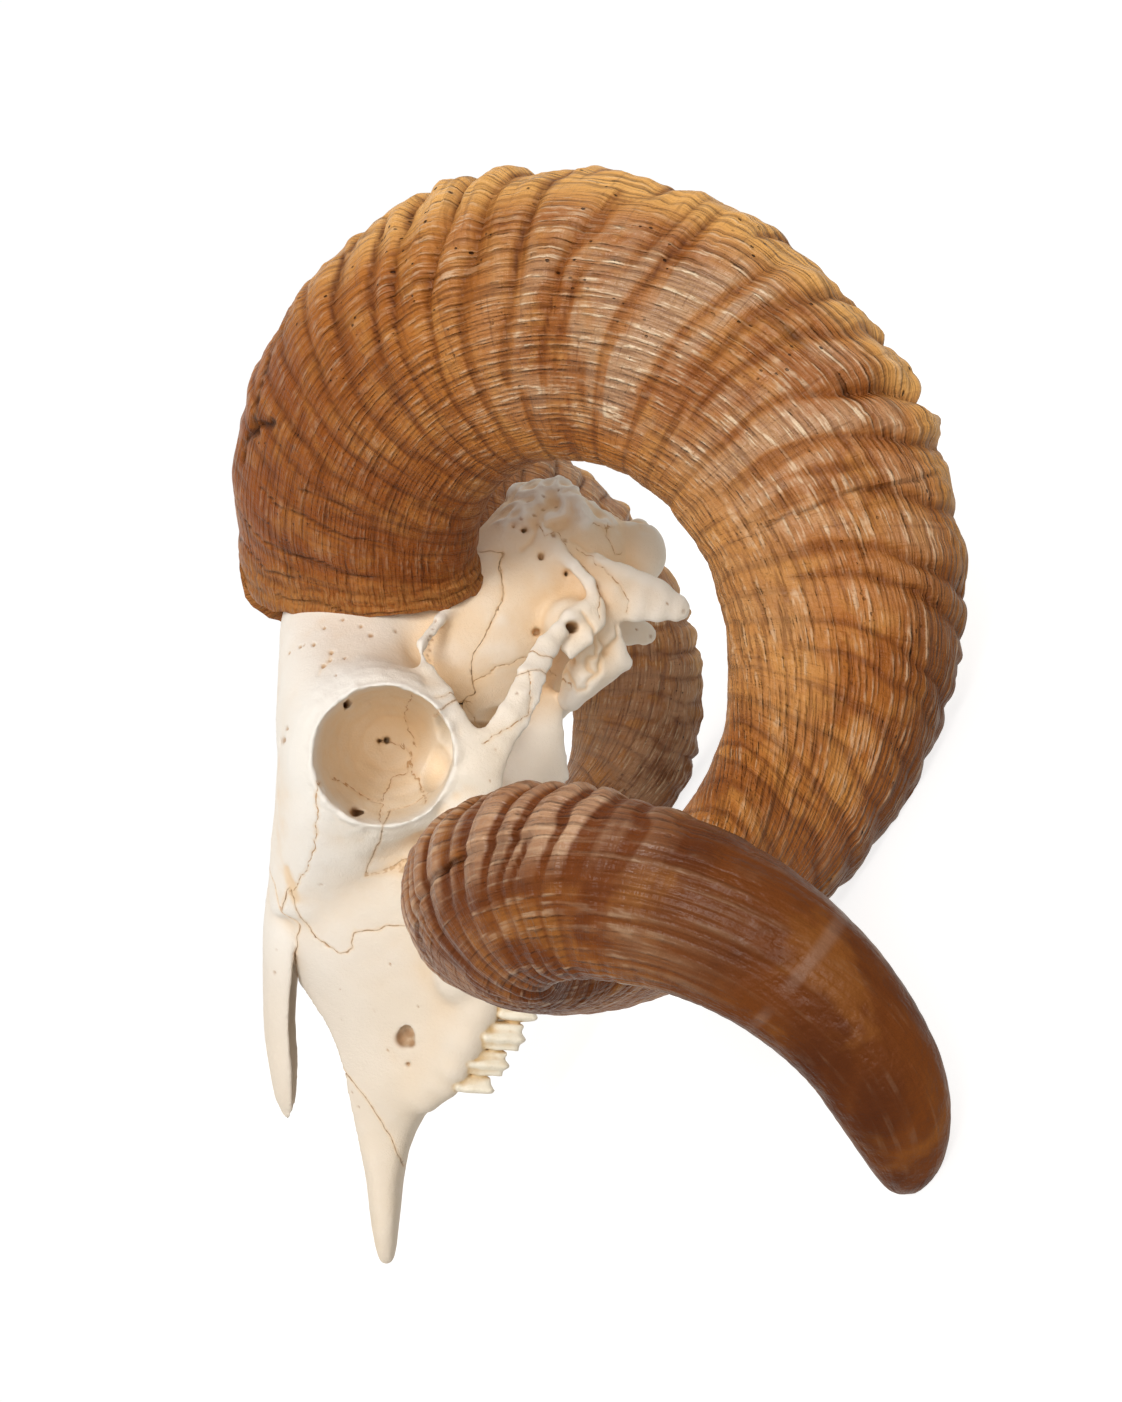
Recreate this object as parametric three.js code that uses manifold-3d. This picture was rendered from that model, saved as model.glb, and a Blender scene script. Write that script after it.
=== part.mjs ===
// A ram's skull with both horns, life size, lying as it comes to rest on a table.
// Millimetres. The bones are built in the skull's own frame: x to the animal's left,
// y from the muzzle back to the nape, z from the teeth up to the forehead.
// The last group tips that frame nose-down onto the horns, which carry the skull.

import * as THREE from 'three';
import Module from 'manifold-3d';
import { mergeVertices } from 'three/addons/utils/BufferGeometryUtils.js';

// ---------------------------------------------------------------- driving dimensions

const SEAM = 0.3; // gap between two bones, and between a horn and its core
const PITCH = 34.3; // degrees that the skull tips nose-down at rest
const TABLE = -79.5; // height of the table top in the tipped frame

const HORN_AXIS = new THREE.Vector3(1, -0.73, 0.23).normalize(); // the coil's axis
const HORN_ORIGIN = new THREE.Vector3(47, 74, -37); // a point on it
const HORN_BASE = 0.017; // where the sheath starts, as a share of its length
const HORN_LEAN = 0.006; // how much sooner it starts on the forehead side
const HORN_TIP = 0.965; // where its blunt tip starts
const HORN_TAPER = { // each value at 0, 1/3, 2/3 and all of the horn's length
  turn: [-30.5, 136.5, 306, 541], // degrees round the axis
  coil: [122.7, 50.7, 30.2, 42.6], // distance from the axis
  along: [0, 113.8, 219, 294.8], // travel along the axis
  wide: [48.9, 33.3, 23.4, 7.8], // half the breadth of the sheath
  thick: [30, 22, 14.5, 9], // half its thickness
};
const HORN_TWIST = [-25, -43.5]; // degrees, base and tip
const HORN_KEEL = 0.22; // how much fuller the outer edge is than the inner one
const HORN_GAP = 4; // half the space between the two horn bases
const HORN_PRESS = 0.06; // how far a base still bulges into that space

const MUZZLE = -196; // y of the tip of the premaxillae
const NAPE = 76; // y of the nuchal crest
const ROOF = 102; // z of the forehead
const ORBIT = { x: 63, y: -23, z: 63, rim: 22, wall: 4.5 }; // left eye socket
const TEETH = { x: 28, y: -133, z: 37, slope: -0.42, crown: 10.5 }; // foremost cheek tooth
const TOOTH_LENGTHS = [8.5, 10.5, 11, 13, 16, 18]; // three premolars, three molars

// ---------------------------------------------------------------- joining and cutting

const wasm = await Module();
wasm.setup();

/** A solid that can be joined and cut, from any closed three.js geometry. */
function solid(geometry) {
  const bare = geometry.clone();
  bare.deleteAttribute('normal');
  bare.deleteAttribute('uv');
  const merged = mergeVertices(bare, 1e-4);
  return new wasm.Manifold(new wasm.Mesh({
    numProp: 3,
    vertProperties: new Float32Array(merged.attributes.position.array),
    triVerts: new Uint32Array(merged.index.array),
  }));
}

/** The three.js geometry of a solid. */
function toGeometry(body) {
  const mesh = body.getMesh();
  const geometry = new THREE.BufferGeometry();
  geometry.setAttribute('position', new THREE.BufferAttribute(mesh.vertProperties, 3));
  geometry.setIndex(new THREE.BufferAttribute(mesh.triVerts, 1));
  const flat = geometry.toNonIndexed();
  flat.computeVertexNormals();
  return flat;
}

/** The same solid on the animal's right. */
function mirrored(body) {
  return body.mirror([1, 0, 0]);
}

function joined(bodies) {
  return bodies.reduce((sum, body) => sum.add(body));
}

// ---------------------------------------------------------------- shapes

/** A closed body through rings of equally many points. */
function loft(rings) {
  const count = rings[0].length;
  const points = rings.flat();
  const faces = [];
  for (let i = 0; i < rings.length - 1; i += 1) {
    for (let j = 0; j < count; j += 1) {
      const a = i * count + j;
      const b = i * count + ((j + 1) % count);
      faces.push(a, b, b + count, a, b + count, a + count);
    }
  }
  const last = (rings.length - 1) * count;
  const middle = (ring) => ring.reduce((sum, p) => sum.add(p), new THREE.Vector3())
    .divideScalar(count);
  const startHub = points.push(middle(rings[0])) - 1;
  const endHub = points.push(middle(rings[rings.length - 1])) - 1;
  for (let j = 0; j < count; j += 1) {
    const k = (j + 1) % count;
    faces.push(startHub, k, j, endHub, last + j, last + k);
  }
  const geometry = new THREE.BufferGeometry().setFromPoints(points);
  geometry.setIndex(faces);
  const body = solid(geometry);
  return body.volume() > 0 ? body : solid(turnedInsideOut(geometry));
}

function turnedInsideOut(geometry) {
  const index = Array.from(geometry.index.array);
  for (let i = 0; i < index.length; i += 3) {
    [index[i + 1], index[i + 2]] = [index[i + 2], index[i + 1]];
  }
  const turned = geometry.clone();
  turned.setIndex(index);
  return turned;
}

/** A ring round centre, from two half axes. A power above 2 squares its corners. */
function oval(centre, wide, tall, count = 16, power = 2) {
  const ring = [];
  for (let j = 0; j < count; j += 1) {
    const angle = (2 * Math.PI * j) / count;
    const c = Math.cos(angle);
    const s = Math.sin(angle);
    const p = centre.clone();
    p.addScaledVector(wide, Math.sign(c) * Math.abs(c) ** (2 / power));
    p.addScaledVector(tall, Math.sign(s) * Math.abs(s) ** (2 / power));
    ring.push(p);
  }
  return ring;
}

/** A cross section of the skull: level floor and roof, each with its half width. */
function section([y, roof, floor, roofHalf, floorHalf], count = 16, power = 2.8) {
  const middle = new THREE.Vector3(0, y, (roof + floor) / 2);
  const across = new THREE.Vector3(1, 0, 0);
  const rising = new THREE.Vector3(0, 0, (roof - floor) / 2);
  const ring = oval(middle, across, rising, count, power);
  for (const p of ring) {
    const rise = (p.z - floor) / (roof - floor);
    p.x *= floorHalf + (roofHalf - floorHalf) * rise;
  }
  return ring;
}

const hull = (stations, count, power) => loft(stations.map((s) => section(s, count, power)));

/** A bar of bone through [x, y, z, half width, half height] stations. */
function bar(stations, count = 8, power = 2) {
  const at = stations.map(([x, y, z]) => new THREE.Vector3(x, y, z));
  const rings = stations.map(([, , , wide, tall], i) => {
    const before = at[Math.max(i - 1, 0)];
    const after = at[Math.min(i + 1, at.length - 1)];
    const run = after.clone().sub(before).normalize();
    const side = new THREE.Vector3(1, 0, 0).addScaledVector(run, -run.x).normalize();
    const up = new THREE.Vector3().crossVectors(run, side);
    return oval(at[i], side.multiplyScalar(wide), up.multiplyScalar(tall), count, power);
  });
  return loft(rings);
}

/** A rounded lump with its own half sizes. */
function lump(x, y, z, halfX, halfY, halfZ, detail = 9) {
  const geometry = new THREE.SphereGeometry(1, detail, Math.round(detail * 0.7));
  geometry.scale(halfX, halfY, halfZ);
  geometry.translate(x, y, z);
  return solid(geometry);
}

/** A block between two corners. */
function block(low, high) {
  const size = high.map((value, i) => value - low[i]);
  const geometry = new THREE.BoxGeometry(...size);
  geometry.translate(...low.map((value, i) => value + size[i] / 2));
  return solid(geometry);
}

/** A prism right across the skull, from an outline in y and z. */
function slice(outline, low = -120, high = 120) {
  const shape = new THREE.Shape(outline.map(([y, z]) => new THREE.Vector2(y, z)));
  const geometry = new THREE.ExtrudeGeometry(shape, { depth: high - low, bevelEnabled: false });
  geometry.translate(0, 0, low);
  const turned = new THREE.Matrix4().makeBasis(
    new THREE.Vector3(0, 1, 0),
    new THREE.Vector3(0, 0, 1),
    new THREE.Vector3(1, 0, 0),
  );
  return solid(geometry.applyMatrix4(turned));
}

/** The same outline with every side moved out by a distance. */
function grown(outline, distance) {
  const count = outline.length;
  const turn = outline.reduce((sum, [y, z], i) => {
    const [ny, nz] = outline[(i + 1) % count];
    return sum + y * nz - ny * z;
  }, 0);
  const out = Math.sign(turn) * distance;
  const normal = (a, b) => new THREE.Vector2(b[1] - a[1], a[0] - b[0]).normalize();
  return outline.map((point, i) => {
    const before = normal(outline[(i + count - 1) % count], point);
    const after = normal(point, outline[(i + 1) % count]);
    const miter = before.clone().add(after);
    miter.multiplyScalar(2 / miter.lengthSq());
    return [point[0] + miter.x * out, point[1] + miter.y * out];
  });
}

// ---------------------------------------------------------------- the horns

/** A smooth value along the horn from its four settings. */
function along([a, b, c, d], s) {
  const t = 3 * s;
  return (a * (1 - t) * (2 - t) * (3 - t)) / 6 + (b * t * (2 - t) * (3 - t)) / 2
    - (c * t * (1 - t) * (3 - t)) / 2 + (d * t * (1 - t) * (2 - t)) / 6;
}

const ACROSS_DOWN = new THREE.Vector3(0, 0, 1)
  .addScaledVector(HORN_AXIS, -HORN_AXIS.z).normalize();
const ACROSS_UP = new THREE.Vector3().crossVectors(ACROSS_DOWN, HORN_AXIS);

function outward(s) {
  const angle = THREE.MathUtils.degToRad(along(HORN_TAPER.turn, s));
  return ACROSS_DOWN.clone().multiplyScalar(Math.cos(angle))
    .addScaledVector(ACROSS_UP, Math.sin(angle));
}

function hornCentre(s) {
  return HORN_ORIGIN.clone()
    .addScaledVector(outward(s), along(HORN_TAPER.coil, s))
    .addScaledVector(HORN_AXIS, along(HORN_TAPER.along, s));
}

/** A point of the sheath. A size over 1 gives the room that the bones leave for it. */
function hornPoint(s, angle, size = 1) {
  const run = hornCentre(s + 1e-4).sub(hornCentre(s - 1e-4)).normalize();
  const out = outward(s).addScaledVector(run, -outward(s).dot(run)).normalize();
  const side = new THREE.Vector3().crossVectors(run, out);
  const twist = THREE.MathUtils.degToRad(HORN_TWIST[0] + (HORN_TWIST[1] - HORN_TWIST[0]) * s);
  const wide = out.clone().multiplyScalar(Math.cos(twist)).addScaledVector(side, Math.sin(twist));
  const thick = side.multiplyScalar(Math.cos(twist)).addScaledVector(out, -Math.sin(twist));
  const toTip = Math.max((s - HORN_TIP) / (1.0005 - HORN_TIP), 0);
  const a = along(HORN_TAPER.wide, s) * size * Math.sqrt(1 - toTip ** 2);
  const b = along(HORN_TAPER.thick, s) * size * Math.sqrt(1 - toTip ** 2);
  const point = hornCentre(s).addScaledVector(wide, a * Math.cos(angle))
    .addScaledVector(thick, b * Math.sin(angle) * (1 + HORN_KEEL * Math.cos(angle)));
  if (point.x < HORN_GAP) point.x = HORN_GAP + (point.x - HORN_GAP) * HORN_PRESS;
  return point;
}

/** Horn from one place to another. The rings lean at the base and straighten by 0.1. */
function hornLoft(places, size = 1, count = 16) {
  return loft(places.map((place) => {
    const lean = HORN_LEAN * THREE.MathUtils.clamp((0.1 - place) / (0.1 - HORN_BASE), 0, 1);
    const ring = [];
    for (let j = 0; j < count; j += 1) {
      const angle = (2 * Math.PI * j) / count;
      ring.push(hornPoint(place - lean * Math.cos(angle), angle, size));
    }
    return ring;
  }));
}

/** Places in even steps. */
function steps(start, end, count) {
  return Array.from({ length: count + 1 }, (_, i) => start + ((end - start) * i) / count);
}

// ---------------------------------------------------------------- the skull, left half

const cheekTeeth = () => {
  const run = new THREE.Vector3(0, 1, TEETH.slope).normalize();
  const down = new THREE.Vector3(0, TEETH.slope, -1).normalize();
  const across = new THREE.Vector3(1, 0, 0);
  const total = TOOTH_LENGTHS.reduce((a, b) => a + b);
  let travel = 0;
  return TOOTH_LENGTHS.map((length, i) => {
    const half = length / 2 - 0.25;
    const wide = 4.2 + i * 0.75;
    const bow = 3.5 * Math.sin((Math.PI * travel) / total);
    const centre = new THREE.Vector3(TEETH.x + bow, TEETH.y, TEETH.z)
      .addScaledVector(run, travel + length / 2);
    travel += length;
    const rings = [-7, TEETH.crown * 0.65, TEETH.crown].map((depth, k) => oval(
      centre.clone().addScaledVector(down, depth),
      across.clone().multiplyScalar(wide * [1.1, 1, 0.75][k]),
      run.clone().multiplyScalar(half),
      8,
      3,
    ));
    return loft(rings);
  });
};

/** Muzzle and cheeks, before the nose is opened. */
const face = hull([
  [MUZZLE, 64, 59, 10, 10],
  [MUZZLE + 5, 66, 58, 15, 15],
  [-178, 68, 57, 17, 18],
  [-162, 71, 55, 17, 17],
  [-150, 75, 52, 15, 17],
  [-142, 79, 46, 15, 24],
  [-134, 82, 38, 15, 33],
  [-112, 90, 29, 18, 36],
  [-95, 96, 22, 24, 39],
  [-78, 101, 14, 31, 43],
  [-62, 103, 8, 40, 46],
  [-48, 102, 10, 50, 46],
  [-36, 96, 16, 46, 30],
  [-10, 92, 14, 34, 18],
]);

/** The two long bones over the nose: an arched roof that ends free in front. */
const nasalRoof = () => {
  const stations = [[-147, 98.5, 96, 5], [-142, 101.5, 95, 10], [-128, 104.5, 95.5, 13.5],
    [-108, 106, 94, 16.5], [-88, 106.5, 91, 19], [-70, 105.5, 88, 22], [-58, 103.5, 92, 18]];
  const rising = new THREE.Vector3(0, 0, 1);
  return loft(stations.map(([y, roof, edge, half]) => {
    const across = new THREE.Vector3(half, 0, 0);
    const ring = oval(new THREE.Vector3(0, y, edge), across, rising, 14, 2.2);
    for (const p of ring) {
      const inside = p.z < edge;
      const arch = Math.sqrt(Math.max(1 - (p.x / half) ** 2, 0));
      p.z = inside ? edge + (roof - edge - 4) * Math.max(arch, 0) : edge + (roof - edge) * arch;
    }
    return ring;
  }));
};

/** Forehead, wide over the eye sockets, drawn in again to the horns. */
const forehead = hull([
  [-76, ROOF + 2, 84, 22, 30],
  [-60, ROOF + 1, 56, 42, 50],
  [-44, ROOF, 54, 57, 61],
  [-24, ROOF - 1, 52, 64, 62],
  [-4, ROOF, 48, 62, 60],
  [12, ROOF + 1, 44, 50, 50],
  [26, ROOF, 38, 36, 39],
  [40, 99, 34, 29, 34],
  [54, 88, 32, 24, 32],
], 20, 2.4);

/** The braincase, down and back from the horns to the nuchal crest. */
const braincase = hull([
  [-24, 84, 10, 22, 16],
  [-6, 84, 0, 30, 26],
  [12, 82, -6, 34, 36],
  [30, 74, -16, 34, 38],
  [46, 62, -28, 32, 38],
  [56, 50, -32, 30, 34],
  [66, 34, -22, 27, 30],
  [73, 24, -6, 20, 26],
  [NAPE, 18, 2, 14, 20],
], 18, 2.4);

/** The ring of bone round the eye, standing out from the side of the head. */
function socket(rim, deep, reach) {
  const out = new THREE.Vector3(1, -0.14, 0.03).normalize();
  const up = new THREE.Vector3(0, 0, 1).addScaledVector(out, -out.z).normalize();
  const side = new THREE.Vector3().crossVectors(out, up);
  const middle = new THREE.Vector3(ORBIT.x, ORBIT.y, ORBIT.z);
  const cone = [[reach, rim], [0, rim], [-16, rim * 0.96], [-44, deep]];
  return loft(cone.map(([step, radius]) => {
    const centre = middle.clone().addScaledVector(out, step);
    return oval(centre, side.clone().setLength(radius), up.clone().setLength(radius), 16);
  }));
}

const cheekbone = bar([
  [36, -84, 40, 5, 9],
  [46, -62, 41, 7, 10],
  [55, -44, 37, 6, 8],
  [61, -28, 31, 4, 6],
  [62, -14, 24, 3.5, 5],
  [60, -2, 18.5, 3.5, 4.5],
  [55, 10, 12, 4, 4.5],
  [47, 21, 5, 5, 5],
  [38, 28, 4, 6, 7],
  [26, 32, 6, 6, 8],
]);

const leftParts = [
  cheekbone,
  socket(ORBIT.rim + ORBIT.wall, ORBIT.rim, 0),
  ...cheekTeeth(),
  bar([[38, 22, 2, 9, 9], [46, 22, 0, 6, 7], [50, 22, -1, 5, 6]]), // bony ear tube
  lump(23, 12, -9, 10, 11, 13), // bulla
  bar([[30, 44, -6, 7, 5], [33, 40, -18, 4.5, 6], [34, 36, -30, 3, 5],
    [34, 32, -40, 1.8, 2.5]]), // jugular process
  lump(15, 52, -26, 11, 14, 11, 10), // condyle
  bar([[14, -40, 20, 5, 8], [14, -24, 8, 3, 13], [15, -6, 1, 2.5, 10],
    [16, 8, -7, 4, 6]]), // wing beside the gullet
];

/** The base of the braincase, along the midline. */
const basilar = hull([
  [-30, 30, 14, 12, 10],
  [-8, 14, -4, 11, 9],
  [20, 0, -16, 12, 10],
  [50, -10, -30, 16, 14],
], 12);

// ---------------------------------------------------------------- openings

const nasalCavity = hull([
  [-205, 100, 66, 4, 4],
  [-190, 98, 66, 6, 6],
  [-176, 97, 64, 11, 10],
  [-150, 96, 59, 11, 11],
  [-130, 96, 52, 11.5, 16],
  [-100, 94, 44, 14, 20],
  [-74, 92, 42, 12, 14],
], 14, 3);

const palateVault = hull([
  [-146, 51, 30, 8, 10],
  [-128, 44, 20, 16, 18],
  [-100, 34, 6, 19, 21],
  [-66, 20, -10, 20, 23],
  [-44, 18, -20, 14, 22],
], 14, 3);

const choanae = hull([[-60, 26, 8, 9, 9], [-30, 24, -12, 10, 10], [-8, 16, -16, 9, 10]], 12, 3);
const foramenMagnum = bar([[0, 40, -14, 9, 9], [0, 60, -15, 10, 9.5], [0, 84, -16, 11, 10]], 14);
const incisiveGap = bar([[0, -206, 61, 2, 12], [0, -182, 60, 4, 12], [0, -166, 58, 2, 10]], 10);

const leftOpenings = [
  socket(ORBIT.rim, 8, 12),
  bar([[46, -4, 34, 6, 7], [47, 6, 34, 9, 12], [46, 15, 30, 7, 10],
    [46, 20, 26, 4, 5]], 12), // temporal fossa
  bar([[50, -10, 10, 8, 5], [49, 2, 22, 8, 12], [48, 8, 40, 6, 7]], 12), // under the arch
  bar([[44, 22, 2, 2.5, 2.5], [56, 22, 1, 3, 3]], 8), // ear opening
  bar([[50, -122, 56, 3, 3], [24, -104, 52, 2, 3]], 8), // infraorbital foramen
];

// ---------------------------------------------------------------- the whole, then its bones

const SHARE = SEAM / 595; // the seam as a share of the horn's length
const hornPlaces = steps(HORN_BASE, HORN_TIP, 40);
const hornSpace = hornLoft([HORN_BASE - SHARE, ...hornPlaces.slice(1, 8)], 1.012);

const leftHalf = joined(leftParts);
let skull = joined([face, nasalRoof(), forehead, braincase, basilar, leftHalf, mirrored(leftHalf)]);
const cuts = joined([nasalCavity, palateVault, choanae, foramenMagnum, incisiveGap]);
const leftCuts = joined(leftOpenings);
skull = skull.subtract(cuts).subtract(leftCuts).subtract(mirrored(leftCuts));
skull = skull.subtract(hornSpace).subtract(mirrored(hornSpace));

/** The main piece of a bone, without the crumbs that crossing cuts leave. */
function largest(body) {
  return body.decompose().reduce((best, piece) => (piece.volume() > best.volume() ? piece : best));
}

/** Takes the bone inside an outline off the skull, and leaves a seam round it. */
function takeBone(outline, low, high) {
  const bone = skull.intersect(slice(outline, low, high));
  skull = skull.subtract(slice(grown(outline, SEAM), low - SEAM, high + SEAM));
  return bone;
}

// Outlines in y and z of the seams, each wide enough to pass the bone's free edges.
const nasalOutline = [[-200, 120], [-200, 88], [-120, 89.5], [-96, 88], [-70, 86], [-60, 120]];
const premaxillaOutline = [[-220, 40], [-161, 40], [-161, 57], [-112, 92], [-160, 99], [-220, 99]];
const maxillaOutline = [[-164, 20], [-40, -20], [-46, 30], [-58, 52], [-76, 72], [-84, 84],
  [-80, 100], [-164, 100]];
const cheekOutline = [[-72, 60], [-60, 20], [-26, 14], [-2, 4], [6, 12], [-1, 36], [-22, 44],
  [-44, 54]];
const frontalOutline = [[-78, 40], [-26, 36], [-4, 36], [6, 42], [22, 44], [44, 40], [46, 60],
  [96, 62], [96, 140], [-90, 140]];

const nasals = takeBone(nasalOutline, -25, 25);
const premaxillae = takeBone(premaxillaOutline, -60, 60);
const maxillae = takeBone(maxillaOutline, -80, 80);
const zygomaticLeft = takeBone(cheekOutline, 43, 80);
const zygomaticRight = takeBone(cheekOutline, -80, -43);
const frontals = takeBone(frontalOutline, -110, 110);

// ---------------------------------------------------------------- resting on the table

const tipped = new THREE.Matrix4().makeRotationX(THREE.MathUtils.degToRad(PITCH));
const underTable = new THREE.BoxGeometry(1000, 900, 200);
underTable.translate(0, 0, TABLE - 100);
underTable.applyMatrix4(tipped.clone().invert());
const table = solid(underTable);

const tip = [0.974, 0.983, 0.991, 0.997, 1];
const hornLeft = hornLoft([...hornPlaces, ...tip]).subtract(table);

// ---------------------------------------------------------------- named nodes

const bone = new THREE.MeshStandardMaterial({ color: 0xefe6d4, roughness: 0.62, metalness: 0 });
const horn = new THREE.MeshStandardMaterial({ color: 0xa66c35, roughness: 0.48, metalness: 0 });

function node(name, body, material) {
  const mesh = new THREE.Mesh(toGeometry(body), material);
  mesh.name = name;
  return mesh;
}

const left = block([SEAM / 2, -400, -400], [400, 400, 400]);
const leftOf = (body) => body.intersect(left);
const rightOf = (body) => body.intersect(mirrored(left));

const skullFrame = new THREE.Group();
skullFrame.name = 'skull_frame';
skullFrame.rotation.x = THREE.MathUtils.degToRad(PITCH);
skullFrame.add(
  node('horn_left', hornLeft, horn),
  node('horn_right', mirrored(hornLeft), horn),
  node('braincase', largest(skull), bone),
  node('frontal_left', largest(leftOf(frontals)), bone),
  node('frontal_right', largest(rightOf(frontals)), bone),
  node('zygomatic_left', largest(zygomaticLeft), bone),
  node('zygomatic_right', largest(zygomaticRight), bone),
  node('maxilla_left', largest(leftOf(maxillae)), bone),
  node('maxilla_right', largest(rightOf(maxillae)), bone),
  node('premaxilla_left', largest(leftOf(premaxillae)), bone),
  node('premaxilla_right', largest(rightOf(premaxillae)), bone),
  node('nasal_left', largest(leftOf(nasals)), bone),
  node('nasal_right', largest(rightOf(nasals)), bone),
);

// The table top is z = 0, and the box round the whole skull is centred over the origin.
const reach = new THREE.Box3().setFromObject(skullFrame, true);
skullFrame.position.set(0, -(reach.min.y + reach.max.y) / 2, -TABLE);

const ramSkull = new THREE.Group();
ramSkull.name = 'ram_skull';
ramSkull.add(skullFrame);

export default ramSkull;
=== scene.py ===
# %% [markdown]
# # A ram's skull with its two coiled horns
# The model in model.glb is the frame: it gives every bone and horn its place and size.
# The script copies the frame's numbers and grows the real
# surfaces on them, so nothing has to be fitted later.

# %% Load the frame
import math
import bmesh
import bpy
import numpy as np
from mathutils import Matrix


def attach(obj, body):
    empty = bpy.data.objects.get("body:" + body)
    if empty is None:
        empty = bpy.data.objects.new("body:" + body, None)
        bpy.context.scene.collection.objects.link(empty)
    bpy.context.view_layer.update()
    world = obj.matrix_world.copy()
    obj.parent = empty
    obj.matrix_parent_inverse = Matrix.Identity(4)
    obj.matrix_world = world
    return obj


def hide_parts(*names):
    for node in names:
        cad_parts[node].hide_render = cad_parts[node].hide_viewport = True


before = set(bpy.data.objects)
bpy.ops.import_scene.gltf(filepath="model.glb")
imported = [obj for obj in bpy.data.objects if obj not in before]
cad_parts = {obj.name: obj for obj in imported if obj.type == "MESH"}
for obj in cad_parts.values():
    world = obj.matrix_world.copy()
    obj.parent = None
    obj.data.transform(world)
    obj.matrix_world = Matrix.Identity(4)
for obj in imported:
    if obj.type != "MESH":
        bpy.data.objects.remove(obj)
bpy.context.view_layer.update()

import openvdb as vdb
from mathutils import Matrix, Vector

print("frame nodes:", sorted(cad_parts))

# %% [markdown]
# ## Two frames
# The shapes are easiest to say in the skull's own frame, in millimetres:
# x to the animal's left, y to the nape, z up from the palate.
# The skull lies tipped forward on its horns, so one turn
# and one lift bring a point to the table, in metres.

# %% From the skull's frame to the table
TIP_FORWARD = math.radians(34.3)
LIFT = np.array([0.0, 41.24, 79.5])
TURN = np.array([
    [1, 0, 0],
    [0, math.cos(TIP_FORWARD), -math.sin(TIP_FORWARD)],
    [0, math.sin(TIP_FORWARD), math.cos(TIP_FORWARD)],
])


def on_table(points):
    """Skull millimetres to metres on the table."""
    return (np.asarray(points, float) @ TURN.T + LIFT) / 1000


print("skull centre on the table:", on_table([0, 0, 0]).round(4))

# %% [markdown]
# ## Camera
# The skull is seen from its left side at the height of
# the eye socket, half a metre away, with the muzzle down.
# So close an eye needs a wide view, which makes the near horn tip look large. The lens's length
# and the sensor's height are nearly the same, 36 mm, and the two say how wide the view is.

# %% The camera
SENSOR_HEIGHT = 36
LENS_TO_SENSOR = 1392 / 1402
EYE = on_table([509.1, -42.5, 52.5])
VIEW_BACK = TURN @ np.array([0.99130821, -0.08277567, 0.10225564])
VIEW_UP = TURN @ np.array([0.08233877, 0.99656821, 0.00849343])
VIEW_RIGHT = TURN @ np.array([0.10260777, 0.0, -0.99472189])

camera_data = bpy.data.cameras.new("camera")
camera_data.sensor_fit = "VERTICAL"
camera_data.sensor_height = SENSOR_HEIGHT
camera_data.lens = SENSOR_HEIGHT * LENS_TO_SENSOR
camera_data.clip_start = 0.01
camera_data.clip_end = 50
camera = bpy.data.objects.new("camera", camera_data)
bpy.context.scene.collection.objects.link(camera)
pose = np.eye(4)
pose[:3, 0] = VIEW_RIGHT
pose[:3, 1] = VIEW_UP
pose[:3, 2] = VIEW_BACK
pose[:3, 3] = EYE
camera.matrix_world = Matrix(pose.tolist())
bpy.context.scene.camera = camera
print("camera at", EYE.round(3))

# %% [markdown]
# ## Floor and light
# Bone and horn want a near white surround and soft light,
# with one broad lamp from above and in front for the form.
# The world is a round studio that lights the skull from behind more than from in front, so
# the near side isn't flatly lit. That change of brightness is only for the light: a Light
# Path node tells the eye's own rays from the rest and shows them the same white all round.
# The floor is a very large pale sheet that glows a little, up to the same white, so no horizon shows.
# It is left out of bounced and mirrored rays, or the skull would be lit from below like a lantern.

# %% The world
ACROSS_ROOM = (-0.75, 0.0, 1.02, 0.47)
UP_ROOM = (-0.7, -0.02, 0.85, 1.0)
WHITE_SEEN = 1.02
WARM, WHITE = (1, 0.95, 0.875, 1), (1, 1, 1, 1)
world = bpy.data.worlds.new("studio")
world.use_nodes = True
wires = world.node_tree
background = wires.nodes["Background"]
toward = wires.nodes.new("ShaderNodeTexCoord")
parts = wires.nodes.new("ShaderNodeSeparateXYZ")
wires.links.new(toward.outputs["Generated"], parts.inputs[0])


def brightness(axis, settings):
    """A soft change along one axis of the room: from here, to here, from this brightness, to this one."""
    made = wires.nodes.new("ShaderNodeMapRange")
    made.interpolation_type = "SMOOTHSTEP"
    for key, value in zip(("From Min", "From Max", "To Min", "To Max"), settings):
        made.inputs[key].default_value = value
    wires.links.new(parts.outputs[axis], made.inputs["Value"])
    return made.outputs[0]


both = wires.nodes.new("ShaderNodeMath")
both.operation = "MULTIPLY"
wires.links.new(brightness("X", ACROSS_ROOM), both.inputs[0])
wires.links.new(brightness("Z", UP_ROOM), both.inputs[1])
seen = wires.nodes.new("ShaderNodeLightPath")
strength = wires.nodes.new("ShaderNodeMix")
wires.links.new(seen.outputs["Is Camera Ray"], strength.inputs["Factor"])
wires.links.new(both.outputs[0], strength.inputs["A"])
strength.inputs["B"].default_value = WHITE_SEEN
wires.links.new(strength.outputs["Result"], background.inputs["Strength"])
tint = wires.nodes.new("ShaderNodeMix")
tint.data_type = "RGBA"
tint.inputs[6].default_value, tint.inputs[7].default_value = WARM, WHITE
wires.links.new(seen.outputs["Is Camera Ray"], tint.inputs["Factor"])
wires.links.new(tint.outputs[2], background.inputs["Color"])
bpy.context.scene.world = world
bpy.context.scene.view_settings.view_transform = "Standard"
print("world nodes:", len(wires.nodes))

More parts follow.
